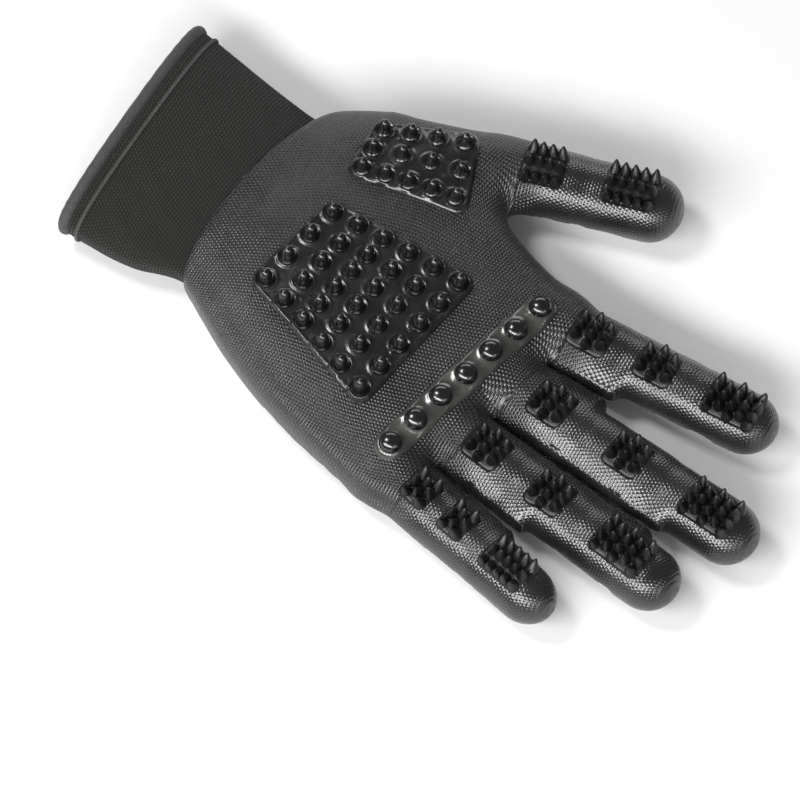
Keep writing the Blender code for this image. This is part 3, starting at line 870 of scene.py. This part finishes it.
@dataclass
class GloveSkin:
    """The knit and its coat as one surface, parted at the segments."""

    form: GloveForm
    material: bpy.types.Material
    coat_edge: float = 8.2  # the height at which the rubber ends on the hand's sides
    cuff_clear: float = 1.7

    def build(self, cuff: "Cuff") -> None:
        """Makes the surface, its coat and stitches, and the pieces cut from it."""
        points, quads = SkinNet(self.form).surface()
        points = self.relaxed(points, quads)
        normals = self.form.normals(points)
        coat = self.coat_share(points)
        place = self.knit_place(points)
        points = points - normals * (KNIT_DEPTH * (1.0 - coat))[:, None]
        middle = points[quads].mean(1)
        label = self.labels(middle)
        inside_cuff = (middle[:, 0] < 50.0) & (cuff.field(middle) < -self.cuff_clear)
        label[inside_cuff] = -1
        whole = Sheet(points, quads, place, coat, normals)
        owners = [("palm", None, 0)]
        for digit in self.form.digits:
            owners += [(f"{digit.name}_{segment}", digit, k) for k, segment in enumerate(digit.segments)]
        for number, (stem, digit, k) in enumerate(owners):
            piece = self.part(whole, label == number).build(stem + "_skin", self.material)
            if digit is None:
                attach(piece, stem)
            else:
                bend(piece)
            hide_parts(f"{stem}_liner", f"{stem}_coat")

    def relaxed(self, points: Array, quads: Array) -> Array:
        """Points evened out among their neighbours, each time set back on the skin."""
        ends = np.concatenate([quads[:, [k, (k + 1) % 4]] for k in range(4)])
        ends = np.concatenate([ends, ends[:, ::-1]])
        degree = np.bincount(ends[:, 0], minlength=len(points))[:, None]
        for _ in range(2):
            columns = points[ends[:, 1]].T
            mean = np.stack([np.bincount(ends[:, 0], column, len(points)) for column in columns], 1)
            points = self.form.settled(points * 0.5 + mean / degree * 0.5, rounds=1)
        return self.form.settled(points, rounds=1)

    def part(self, whole: Sheet, chosen: Array) -> Sheet:
        """The chosen faces of the whole skin with only their own points."""
        used, quads = np.unique(whole.quads[chosen], return_inverse=True)
        return Sheet(
            whole.points[used], quads.reshape(-1, 4), whole.place[used], whole.coat[used], whole.normals[used]
        )

    def owner(self, points: Array) -> tuple[Array, Array]:
        """For each point, the number of its digit, or -1, and how far along that digit it lies."""
        places = [digit.along_across(points) for digit in self.form.digits]
        fields = np.stack([digit.field(points) for digit in self.form.fingers])
        nearest = fields.argmin(0)
        count = len(self.form.fingers)
        thumb_along, thumb_across = places[count]
        on_thumb = (np.abs(thumb_across) < 16.5) & (thumb_along > self.form.thumb.zones[0][0] - 0.5)
        starts = np.array([digit.zones[0][0] - 0.5 for digit in self.form.fingers])
        along = np.take_along_axis(np.stack([place[0] for place in places[:count]]), nearest[None], 0)[0]
        owner = np.where(along > starts[nearest], nearest, -1)
        owner[on_thumb] = count
        along = np.where(on_thumb, thumb_along, along)
        return owner, along

    def labels(self, points: Array) -> Array:
        """The number of the piece that each point belongs to: 0 for the palm, then the segments in order."""
        owner, along = self.owner(points)
        label = np.zeros(len(points), int)
        number = 1
        for k, digit in enumerate(self.form.digits):
            ends = [(a[1] + b[0]) / 2 for a, b in zip(digit.zones, digit.zones[1:])]
            segment = np.digitize(along, ends)
            label[owner == k] = (number + segment)[owner == k]
            number += len(digit.segments)
        return label

    def coat_share(self, points: Array) -> Array:
        """1 on the palm side and all round the fingertips, falling to 0 over about a millimetre."""
        edge = self.coat_edge + 0.8 * ripple(points * (1, 1, 0), 26.0, (0.2, 1.4)) + 0.5 * ripple(
            points * (1, 1, 0), 9.0, (0.8, 2.4)
        )
        for digit in self.form.digits:
            along, across = digit.along_across(points)
            near = np.abs(across) < digit.half_width[0] + 3
            edge = edge - near * 14.0 * smooth_step(digit.length - 19.0, digit.length - 11.0, along)
        return smooth_step(-0.6, 0.6, points[:, 2] - edge)

    def knit_place(self, points: Array) -> Array:
        """Where each point lies in the knit: along the hand or digit, and round it.

        On the palm the distance round is |y - c| + (b - z) above mid-height, and its mirror image below. On a
        digit it is the turn about the axis times the mean radius. The third number is how far the knit is
        stretched smooth, 0 on the palm and 1 along the digits.
        """
        centre, wide, middle, high = self.form.palm.section(points[:, 0])
        y, z = points[:, 1] - centre, points[:, 2] - middle
        round_it = np.abs(y) + np.maximum(high - np.abs(z), 0.0)
        round_it = np.where(z > 0, round_it, 2 * (wide + high) - round_it) * np.sign(y)
        place = np.stack([points[:, 0], round_it, np.zeros(len(points))], 1)
        owner, _ = self.owner(points)
        for k, digit in enumerate(self.form.digits):
            along, across = digit.along_across(points)
            wide, high, middle = digit.size_at(along)
            turn = np.arctan2(across / wide, (points[:, 2] - middle) / high)
            stretch = smooth_step(4.0, 16.0, along)
            mine = np.stack([along + digit.hinge[0], turn * (wide + high) / 2, stretch], 1)
            place[owner == k] = mine[owner == k]
        return place


def bend(piece: bpy.types.Object) -> None:
    """Bakes a piece's place into its mesh."""
    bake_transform(piece)


@dataclass
class PlateShape:
    """How a pad's plate stands above the skin, in millimetres."""

    thickness: float
    rim: float  # how much higher its edge ridge is
    edge: float  # the width of the rounded edge
    sunk: float = 0.7
    corner: float = 2.5  # the outline's corner radius


@dataclass
class PadMaker:
    """Lays plates with nubs on the skin."""

    form: GloveForm

    def tile(self, half: tuple[float, float], corner: float, step: float) -> tuple[Array, Array, Array]:
        """A grid over a rectangle with rounded corners, finer towards its edges.

        The row at v reaches u = a - r + sqrt(r^2 - q^2) to either side, v being q into the corners.

        Args:
            half: Half its size across and along.
            corner: The corners' radius.
            step: Roughly the size of a cell.

        Returns:
            The places across and along, and how far each is from the outline.
        """
        shares = [np.linspace(-1.0, 1.0, int(2 * size / step) | 1) for size in half]
        ways = [size * np.sin(1.35 * share) / math.sin(1.35) for size, share in zip(half, shares)]
        along = ways[1][:, None] + np.zeros(len(ways[0]))
        into = np.clip(np.abs(along) - half[1] + corner, 0.0, corner)
        across = ways[0] / half[0] * (half[0] - corner + np.sqrt(corner**2 - into**2))
        far = np.stack([np.abs(across) - half[0], np.abs(along) - half[1]]) + corner
        inset = corner - np.hypot(*np.maximum(far, 0.0)) - np.minimum(far.max(0), 0.0)
        return across, along, inset

    def plate(self, skin: Array, inset: Array, shape: PlateShape, extra: Array) -> Sheet:
        """A closed plate: its top over the skin, its underside below it.

        Height = thickness * sqrt(1 - (1 - d/e)^2) within the edge width e, plus the rim and the extra relief.

        Args:
            skin: A grid of points on the skin.
            inset: How far each is from the plate's outline.
            shape: The plate's heights.
            extra: Relief on its top.

        Returns:
            The plate.
        """
        normals = self.form.normals(skin)
        share = np.clip(inset / shape.edge, 0.0, 1.0)
        rise = np.sqrt(np.maximum(1.0 - (1.0 - share) ** 2, 0.0))
        rim = shape.rim * np.exp(-(((inset - 1.4) / 0.7) ** 2))
        height = -shape.sunk + (shape.sunk + shape.thickness) * rise + (rim + extra) * rise
        top = skin + normals * height[..., None]
        under = skin - normals * (shape.sunk + 0.2 * share)[..., None]
        quads = grid_quads(*skin.shape[:2], closed=False)
        return Sheet(top.reshape(-1, 3), quads[:, ::-1]).joined(Sheet(under.reshape(-1, 3), quads))

    def rings_round(self, ground: Array, nubs: Array, radius: float) -> Array:
        """Low rings on a plate about each nub's foot, and a shallow dip between ring and nub."""
        out = nearest(ground, nubs) - radius
        return 0.46 * np.exp(-((out / 0.48) ** 2)) - 0.12 * np.exp(-(((out + 0.9) / 0.5) ** 2))

    def meniscus(self, ground: Array, nubs: Array, radius: float) -> Array:
        """Rubber drawn up round each dome's foot: 0.85 * exp(-(r - R) / 1.25)."""
        return 0.85 * np.exp(-np.maximum(nearest(ground, nubs) - radius, 0.0) / 1.25)


@dataclass
class FingerPads:
    """Pads of spikes on every segment of every digit."""

    form: GloveForm
    material: bpy.types.Material
    shape: PlateShape
    # radius and height, foot to tip
    spike: tuple = (
        (2.5, -0.5), (2.25, 0.0), (2.0, 0.6), (1.7, 1.4), (1.3, 2.4), (0.85, 3.4), (0.4, 4.2), (0.0, 4.5),
    )  # fmt: skip
    spike_sides: int = 10
    lean: float = 0.06  # how unevenly the spikes stand
    row_margin: float = 1.75  # from the pad's edge to its outer spikes
    overhang: float = 0.8  # how far the plate goes past the pad's given size
    step: float = 0.62

    def build(self) -> None:
        """Makes each pad and bakes its place, or rides it with its segment."""
        for digit in self.form.digits:
            for k, segment in enumerate(digit.segments):
                name = f"{digit.name}_{segment}_pad"
                piece = self.pad(digit, k).build(name + "_brush", self.material)
                middle, half_length, _, _ = digit.pads[k]
                if middle - half_length < digit.zones[k][1]:
                    bend(piece)
                else:
                    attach(piece, f"{digit.name}_{segment}")
                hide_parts(name)

    def pad(self, digit: Digit, segment: int) -> Sheet:
        """One pad: the plate follows the skin, and each spike stands square to it."""
        maker = PadMaker(self.form)
        middle, half_length, half_width, rows = digit.pads[segment]
        half = half_width + self.overhang, half_length + self.overhang
        u, v, inset = maker.tile(half, self.shape.corner, self.step)
        skin = self.form.settled(digit.laid(u, middle + v), 6)
        step = 2 * (half_length - self.row_margin) / (len(rows) - 1)
        side_step = 2 * (half_width - self.row_margin) / (max(rows) - 1)
        along = middle + (np.repeat(np.arange(len(rows)), rows) - (len(rows) - 1) / 2) * step
        across = np.concatenate([np.arange(count) - (count - 1) / 2 for count in rows]) * side_step
        feet = self.form.settled(digit.laid(across, along), 6)
        lean = self.lean * np.sin(np.arange(len(feet))[:, None] * (2.1, 3.7, 5.3))
        normals = unit(self.form.normals(feet) + lean)
        foot_swell = 0.55 * np.exp(-((nearest(skin, feet) / 1.9) ** 2))
        plate = maker.plate(skin, inset, self.shape, foot_swell)
        stand = feet + normals * (self.shape.thickness - 0.15)
        return plate.joined(turned(self.spike, stand, normals, self.spike_sides))


@dataclass
class PalmPlate:
    """A four-cornered plate with rows of nubs, laid on the palm."""

    name: str
    corners: tuple
    nubs: Array
    shape: PlateShape
    profile: tuple
    ring: float
    slot: Slot
    step: float = 0.42
    nub_sides: int = 18

    def build(self, form: GloveForm, material: bpy.types.Material) -> None:
        """Makes the plate and its nubs, riding on the palm."""
        maker = PadMaker(form)
        a, b, c, d = (np.array(corner, float) for corner in self.corners)
        half = np.linalg.norm((b + c - a - d) / 4), np.linalg.norm((c + d - a - b) / 4)
        u, v, inset = maker.tile(half, self.shape.corner, self.step)
        s, t = (u / half[0] / 2 + 0.5)[..., None], (v / half[1] / 2 + 0.5)[..., None]
        ground = a * (1 - s) * (1 - t) + b * s * (1 - t) + c * s * t + d * (1 - s) * t
        skin = form.dropped(ground)
        relief = maker.meniscus if self.slot is Slot.GLOSS else maker.rings_round
        extra = relief(ground, self.nubs, self.ring) + self.droplets(ground)
        plate = maker.plate(skin, inset, self.shape, extra)
        feet = form.dropped(self.nubs)
        normals = unit(form.normals(feet) * 0.6 + np.array([0, 0, 0.4]))
        stand = feet + normals * (self.shape.thickness - 0.2)
        whole = plate.joined(turned(self.profile, stand, normals, self.nub_sides))
        whole.coat = (np.arange(len(whole.points)) >= len(plate.points)).astype(float)
        piece = whole.build(self.name + "_brush", material)
        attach(piece, "palm")
        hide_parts(self.name)

    def droplets(self, ground: Array) -> Array:
        """Small beads and pits left by moulding, at places from a fixed seed."""
        pick = np.random.default_rng(len(self.nubs))
        low, high = self.nubs.min(0) - 3, self.nubs.max(0) + 3
        count = 2 * len(self.nubs) if self.slot is Slot.BRUSH else 4
        beads = pick.uniform(low, high, (count, 2))
        size = pick.uniform(0.5, 0.9, count)
        sign = np.where(pick.random(count) < 0.7, 0.2, -0.12)
        away = ((ground[..., None, :] - beads) ** 2).sum(-1)
        return (sign * np.exp(-away / size**2)).sum(-1) + 0.07 * ripple(
            np.concatenate([ground, ground[..., :1] * 0], -1), 9.0, (0.4, 1.9, 2.9)
        )


def rows_in_plate(corners: tuple, rows: tuple[int, ...], margin: float) -> Array:
    """Places in rows across a plate; rows run from its first two corners to its last two."""
    a, b, d, c = (np.array(corner, float) for corner in corners)
    depth = np.linalg.norm((c + d) / 2 - (a + b) / 2)
    places = []
    for r, count in enumerate(rows):
        down = margin / depth + (1 - 2 * margin / depth) * r / (len(rows) - 1)
        left, right = a + (c - a) * down, b + (d - b) * down
        inset = margin / np.linalg.norm(right - left)
        share = inset + (1 - 2 * inset) * np.arange(count) / (count - 1)
        places.append(left + (right - left) * share[:, None])
    return np.concatenate(places)


@dataclass
class Cuff:
    """The ribbed cuff with its lining, its binding and the overlock thread."""

    # distance from the hem, little-finger side, thumb side, top, back's height, slant
    stations: tuple = (
        (1, -44, 44, 23.6, 2.0, -0.12), (14, -43.4, 42.8, 22.8, 1.9, -0.08), (28, -41, 41.4, 22, 1.0, -0.04),
        (44, -34, 40.6, 21.2, 0.2, 0.0), (58, -36, 44.0, 20.6, 0.4, 0.0), (84, -42, 50.0, 19.0, 2.0, 0.0),
    )  # fmt: skip
    columns: int = 420
    wall: float = 1.5
    binding_radius: float = 2.2
    ridge_radius: float = 0.62
    ridge_from_hem: float = 4.3
    ridge_beads: int = 150
    squareness: float = 2.6
    band_steps: int = 620
    band_sides: int = 14

    def sizes(self, along: Array) -> list[Array]:
        """Low side, high side, top, back and slant at each distance from the hem."""
        run = np.arange(-12.0, 100.0, 0.5)
        return [np.interp(along, run, row) for row in rounded_run(self.stations, run, 20, 3.5)]

    def section(self, along: Array, offset: float, turns: Array) -> Array:
        """Rings of the squared oval, flat at its back.

        y = c + a*sgn(cos)|cos|^(2/p), z = m + b*sgn(sin)|sin|^(2/p), held above the flat back.
        """
        low, high, top, back, slant = (row[:, None] for row in self.sizes(along))
        power = 2 / self.squareness
        across = np.sign(np.cos(turns)) * np.abs(np.cos(turns)) ** power * ((high - low) / 2 + offset)
        half = (top - back + KNIT_DEPTH) / (1 + BACK_SHARE)
        up = np.sign(np.sin(turns)) * np.abs(np.sin(turns)) ** power * (half + offset)
        middle = BACK_SHARE * (half - KNIT_DEPTH)
        height = back + middle + np.maximum(up, -middle - KNIT_DEPTH - offset)
        x = along[:, None] + slant * across
        return np.stack([x, (high + low) / 2 + across, height], -1)

    def field(self, points: Array) -> Array:
        """Roughly the distance outside the cuff's wall."""
        low, high, top, back, _ = self.sizes(points[:, 0])
        half = (top - back + KNIT_DEPTH) / (1 + BACK_SHARE)
        middle = back + BACK_SHARE * (half - KNIT_DEPTH)
        y = np.abs(points[:, 1] - (high + low) / 2) / ((high - low) / 2)
        z = np.abs(points[:, 2] - middle) / half
        power = self.squareness
        return ((y**power + z**power) ** (1 / power) - 1) * half

    def wall_sheet(self) -> Sheet:
        """Both faces of the cuff in one sheet: outside from its closed end, round the hem and back inside."""
        turns = (np.arange(self.columns) + 0.5) * 2 * math.pi / self.columns
        outward = np.concatenate([np.linspace(82.0, 52.0, 12), np.linspace(50.0, -0.5, 74)])
        inward = outward[::-1]
        outer = self.section(outward, -KNIT_DEPTH, turns)
        inner = self.section(inward, -KNIT_DEPTH - self.wall, turns)
        slack = 0.35 * ripple(outer, 17.0, (1.2, 1.7)) + 0.15 * ripple(outer, 8.0, (1.0, 1.9))
        outer[..., 2] += slack * smooth_step(4.0, 12.0, outward)[:, None] * (outer[..., 2] > 6)
        ends = [np.broadcast_to(ring.mean(0), (1, *ring.shape)) for ring in (outer[0], inner[-1])]
        rows = np.concatenate([ends[0], outer, inner, ends[1]])
        step = np.linalg.norm(np.diff(self.section(np.array([30.0]), -KNIT_DEPTH, turns)[0], axis=0), axis=1)
        round_it = np.concatenate([[0.0], np.cumsum(step)])
        ways = np.concatenate([[84.0], outward, inward, [84.0]])
        place = np.zeros(rows.shape)
        place[..., 0] = ways[:, None]
        place[..., 1] = round_it[None, :]
        quads = grid_quads(len(rows), self.columns, closed=True)[:, ::-1]
        return Sheet(rows.reshape(-1, 3), quads, place.reshape(-1, 3))

    def band(self, from_hem: float, outset: float, radius: float, squash: float, beads: int) -> Sheet:
        """A closed band round the cuff: a squashed circle carried along the cuff's oval.

        Args:
            from_hem: How far up the cuff it runs.
            outset: Its distance outside the wall.
            radius: Of the band.
            squash: Its thickness over its width.
            beads: Stitches round it; each swells the thread a little.

        Returns:
            The band.
        """
        turns = np.arange(self.band_steps) * 2 * math.pi / self.band_steps
        path = self.section(np.array([from_hem]), outset, turns)[0]
        ahead = unit(np.roll(path, -1, 0) - np.roll(path, 1, 0))
        out = unit(np.cross(ahead, [1.0, 0.0, 0.0]))
        up = np.cross(out, ahead)
        sides = np.arange(self.band_sides) * 2 * math.pi / self.band_sides
        swell = 1.0 + (0.16 * np.abs(np.sin(turns * beads / 2)) if beads else 0.02 * np.sin(turns * 37))
        turn_up, turn_out = np.cos(sides)[None, :, None], squash * np.sin(sides)[None, :, None]
        ring = turn_up * up[:, None] + turn_out * out[:, None]
        points = path[:, None] + radius * swell[:, None, None] * ring
        length = np.concatenate([[0.0], np.cumsum(np.linalg.norm(np.diff(path, axis=0), axis=1))])
        place = np.zeros(points.shape)
        place[..., 0] = length[:, None]
        place[..., 1] = sides * radius
        points = np.concatenate([points, points[:1]])
        place = np.concatenate([place, place[:1] + (length[-1] + 0.3, 0, 0)])
        quads = grid_quads(self.band_steps + 1, self.band_sides, closed=True)
        return Sheet(points.reshape(-1, 3), quads, place.reshape(-1, 3))

    def build(self, cloth: bpy.types.Material, band: bpy.types.Material, thread: bpy.types.Material) -> None:
        """Makes the cuff and the two bands that ride with it."""
        wall = self.wall_sheet().build("cuff_knit_wall", cloth)
        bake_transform(wall)
        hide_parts("cuff_knit")
        middle = -KNIT_DEPTH - self.wall / 2
        binding = self.band(-1.6, middle, self.binding_radius, 0.9, 0).build("hem_binding_band", band)
        ridge = self.band(self.ridge_from_hem, -KNIT_DEPTH + 0.25, self.ridge_radius, 0.8, self.ridge_beads)
        ridge = ridge.build("overlock_thread", thread)
        for piece, node in ((binding, "hem_binding"), (ridge, "overlock_ridge")):
            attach(piece, "cuff")
            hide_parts(node)


# ---------------------------------------------------------------- studio


@dataclass
class Studio:
    """A pale floor, soft white lamps and the camera."""

    aim: tuple = (129.0, -25.8, 10.0)  # what the camera looks at, in the hand's frame
    back: tuple = (0.307, -0.3946, 0.866)
    distance: float = 5.0
    lens: float = 696.0
    floor_half: float = 16.0
    floor_height: float = -0.0004
    # name, the way it stands in, distance, size and power
    lamps: tuple = (
        ("front_softbox", (0.08, -0.74, 0.60), 0.95, (1.35, 0.22), 16.0),
        ("top_softbox", (-0.50, -0.16, 0.85), 1.2, (0.34, 0.34), 7.0),
        ("side_softbox", (0.9, -0.3, 0.42), 1.2, (0.7, 0.4), 3.0),
        ("back_softbox", (-0.55, 0.7, 0.38), 1.3, (1.2, 0.3), 4.0),
    )

    def camera(self) -> None:
        """Stands the camera."""
        data = bpy.data.cameras.new("studio_camera")
        data.lens, data.sensor_width = self.lens, 36.0
        data.clip_start, data.clip_end = 0.05, 20.0
        camera = bpy.data.objects.new("studio_camera", data)
        back = Vector(self.back).normalized()
        camera.location = Vector(to_row(np.array(self.aim))) + back * self.distance
        camera.rotation_euler = (-back).to_track_quat("-Z", "Y").to_euler()
        bpy.context.scene.collection.objects.link(camera)
        bpy.context.scene.camera = camera

    def lamp(self, name: str, towards: tuple, distance: float, size: tuple, power: float) -> None:
        """A soft rectangular lamp that faces the glove."""
        data = bpy.data.lights.new(name, "AREA")
        data.shape, data.size, data.size_y, data.energy = "RECTANGLE", *size, power
        lamp = bpy.data.objects.new(name, data)
        way = Vector(towards).normalized()
        lamp.location = way * distance
        lamp.rotation_euler = (-way).to_track_quat("-Z", "Y").to_euler()
        lamp.visible_camera = False
        bpy.context.scene.collection.objects.link(lamp)

    def floor_finish(self) -> bpy.types.Material:
        """Matte paper with a slight unevenness of tone."""
        material = bpy.data.materials.new("pale_floor")
        material.use_nodes = True
        shader = material.node_tree.nodes["Principled BSDF"]
        desk = NodeDesk(material.node_tree)
        grain = desk.noise(desk.add("ShaderNodeTexCoord").outputs["Object"], 9.0)
        tone = desk.blend(grain, (0.70, 0.70, 0.70, 1), (0.73, 0.73, 0.73, 1))
        desk.feed(shader.inputs["Base Color"], tone)
        shader.inputs["Roughness"].default_value = 0.9
        return material

    def build(self) -> None:
        """Makes the floor, the surroundings and the lamps."""
        world = bpy.data.worlds.new("studio_world")
        world.use_nodes = True
        world.node_tree.nodes["Background"].inputs[0].default_value = (0.95, 0.97, 1.0, 1.0)
        world.node_tree.nodes["Background"].inputs[1].default_value = 0.19
        bpy.context.scene.world = world
        side = np.linspace(-self.floor_half, self.floor_half, 9)
        x, y = np.meshgrid(side, side, indexing="ij")
        mesh = bpy.data.meshes.new("floor")
        points = np.stack([x, y, np.full_like(x, self.floor_height)], -1).reshape(-1, 3)
        mesh.from_pydata(points.tolist(), [], grid_quads(9, 9, closed=False)[:, ::-1].tolist())
        mesh.materials.append(self.floor_finish())
        floor = bpy.data.objects.new("floor", mesh)
        bpy.context.scene.collection.objects.link(floor)
        for values in self.lamps:
            self.lamp(*values)
        bpy.context.scene.view_settings.view_transform = "Standard"


# ---------------------------------------------------------------- the glove

# of a pad: half-length, half-width and spikes in each row
SMALL_PAD = (6.3, 6.3, (3, 4, 3))
LONG_PAD = (9.5, 6.8, (4, 3, 4, 3, 4))
FINGERS = (
    finger(
        "index", (11.6, 10.6), 77.5, ((3.5, 11.5), (17.3, 26.3), (42.5, 51.5)),
        ((9.8, *SMALL_PAD), (33.7, *SMALL_PAD), (62.5, *LONG_PAD)),
    ),
    finger(
        "middle", (11.8, 11.0), 96.0, ((3.0, 11.5), (25.0, 34.0), (56.0, 65.0)),
        ((14.5, *SMALL_PAD), (45.4, *SMALL_PAD), (79.0, *LONG_PAD)),
    ),
    finger(
        "ring", (11.7, 10.8), 90.0, ((4.5, 12.0), (20.3, 29.3), (47.5, 56.5)),
        ((11.6, *SMALL_PAD), (38.0, *SMALL_PAD), (68.5, *LONG_PAD)),
    ),
    finger(
        "little", (11.0, 9.4), 66.5, ((5.5, 12.3), (13.2, 20.1), (30.8, 38.8)),
        ((8.5, 4.7, 5.6, (3, 2, 3)), (24.8, 4.7, 5.6, (3, 2, 3)), (47.5, 8.4, 6.0, (3, 3, 3, 3, 3))),
    ),
)  # fmt: skip
THUMB = Digit(
    "thumb", "thumb_base", 10.6, 0.6, (12.6, 11.2), (11.4, 10.4), 59.0, ("proximal", "distal"),
    ((5.5, 15.0), (22.0, 31.0)),
    ((12.0, 6.6, 6.6, (3, 3, 3, 3)), (41.5, 8.6, 6.6, (3, 3, 3, 3, 3))), root=34.0,
)  # fmt: skip

BULLET = (
    (3.2, -0.5), (2.95, 0.0), (2.6, 0.35), (2.4, 0.9), (2.3, 2.0), (2.15, 3.2), (1.85, 4.2), (1.4, 5.0),
    (0.9, 5.5), (0.42, 5.78), (0.0, 5.85),
)  # fmt: skip
SLIM_BULLET = (
    (3.5, -0.4), (3.2, 0.0), (2.75, 0.35), (2.35, 0.75), (2.05, 1.3), (1.85, 2.1), (1.75, 3.2), (1.6, 4.2),
    (1.25, 5.0), (0.8, 5.45), (0.4, 5.65), (0.0, 5.7),
)  # fmt: skip
DOME = ((4.2, -0.5), (4.05, 0.3), (3.9, 1.1), (3.5, 2.1), (2.8, 2.9), (1.8, 3.45), (0.9, 3.68), (0.0, 3.75))


def plates() -> tuple[PalmPlate, ...]:
    """The palm's three plates with their nubs."""
    palm = ((67.5, -27.5), (70.3, 13.0), (127.5, 19.0), (126.0, -43.0))
    thenar = ((62.8, 46.2), (93.3, 64.2), (109.5, 34.5), (68.0, 22.5))
    low, high = np.array([140.6, -45.7]), np.array([147.8, 24.0])
    along = (high - low) / np.linalg.norm(high - low)
    edge = np.array([along[1], -along[0]]) * 5.4
    ends = low - along * 5.8, high + along * 5.8
    bar = (ends[0] - edge, ends[1] - edge, ends[1] + edge, ends[0] + edge)
    domes = low + (high - low) * (np.arange(7) / 6)[:, None]
    return (
        PalmPlate(
            "palm_nub_pad", palm, rows_in_plate(palm, (4, 5, 6, 6, 6, 6), 4.9),
            PlateShape(1.0, 0.22, 1.3, corner=5.2), BULLET, 3.55, Slot.BRUSH,
        ),
        PalmPlate(
            "thenar_nub_pad", thenar, rows_in_plate(thenar, (4, 4, 5), 4.9),
            PlateShape(0.9, 0.2, 1.3, corner=5.0), SLIM_BULLET, 3.5, Slot.BRUSH,
        ),
        PalmPlate(
            "finger_base_strip", bar, domes, PlateShape(0.8, 0.12, 1.7, corner=5.3), DOME, 3.9, Slot.GLOSS,
            step=0.36,
        ),
    )  # fmt: skip


def main() -> None:
    """Builds the camera, the glove and the studio."""
    logging.basicConfig(level=logging.INFO, format="%(name)s %(message)s")
    studio = Studio()
    studio.camera()
    patterns = Patterns(knit_group(), grain_group(), lint_group())
    form = GloveForm(PalmForm(), FINGERS, THUMB)
    cuff = Cuff()
    brush = MouldedRubber("brush_rubber", (0.006, 0.006, 0.0065, 1.0), 0.24, 0.3).make(patterns)
    gloss = MouldedRubber("gloss_rubber", (0.030, 0.030, 0.027, 1.0), 0.16, 0.5).make(patterns)
    spikes = MouldedRubber("spike_rubber", (0.004, 0.004, 0.004, 1.0), 0.34, 0.0, 0.3).make(patterns)
    GloveSkin(form, CoatedKnit().make(patterns)).build(cuff)
    FingerPads(form, spikes, PlateShape(0.5, 0.08, 1.3)).build()
    for plate in plates():
        plate.build(form, gloss if plate.slot is Slot.GLOSS else brush)
    cuff.build(
        RibbedCuff().make(patterns),
        BindingYarn("hem_binding_cloth", (0.062, 0.060, 0.058, 1.0), 0.9, 0.00012).make(patterns),
        BindingYarn("overlock_yarn", (0.075, 0.072, 0.068, 1.0), 0.7, 0.0002).make(patterns),
    )
    studio.build()


if __name__ == "__main__":
    main()
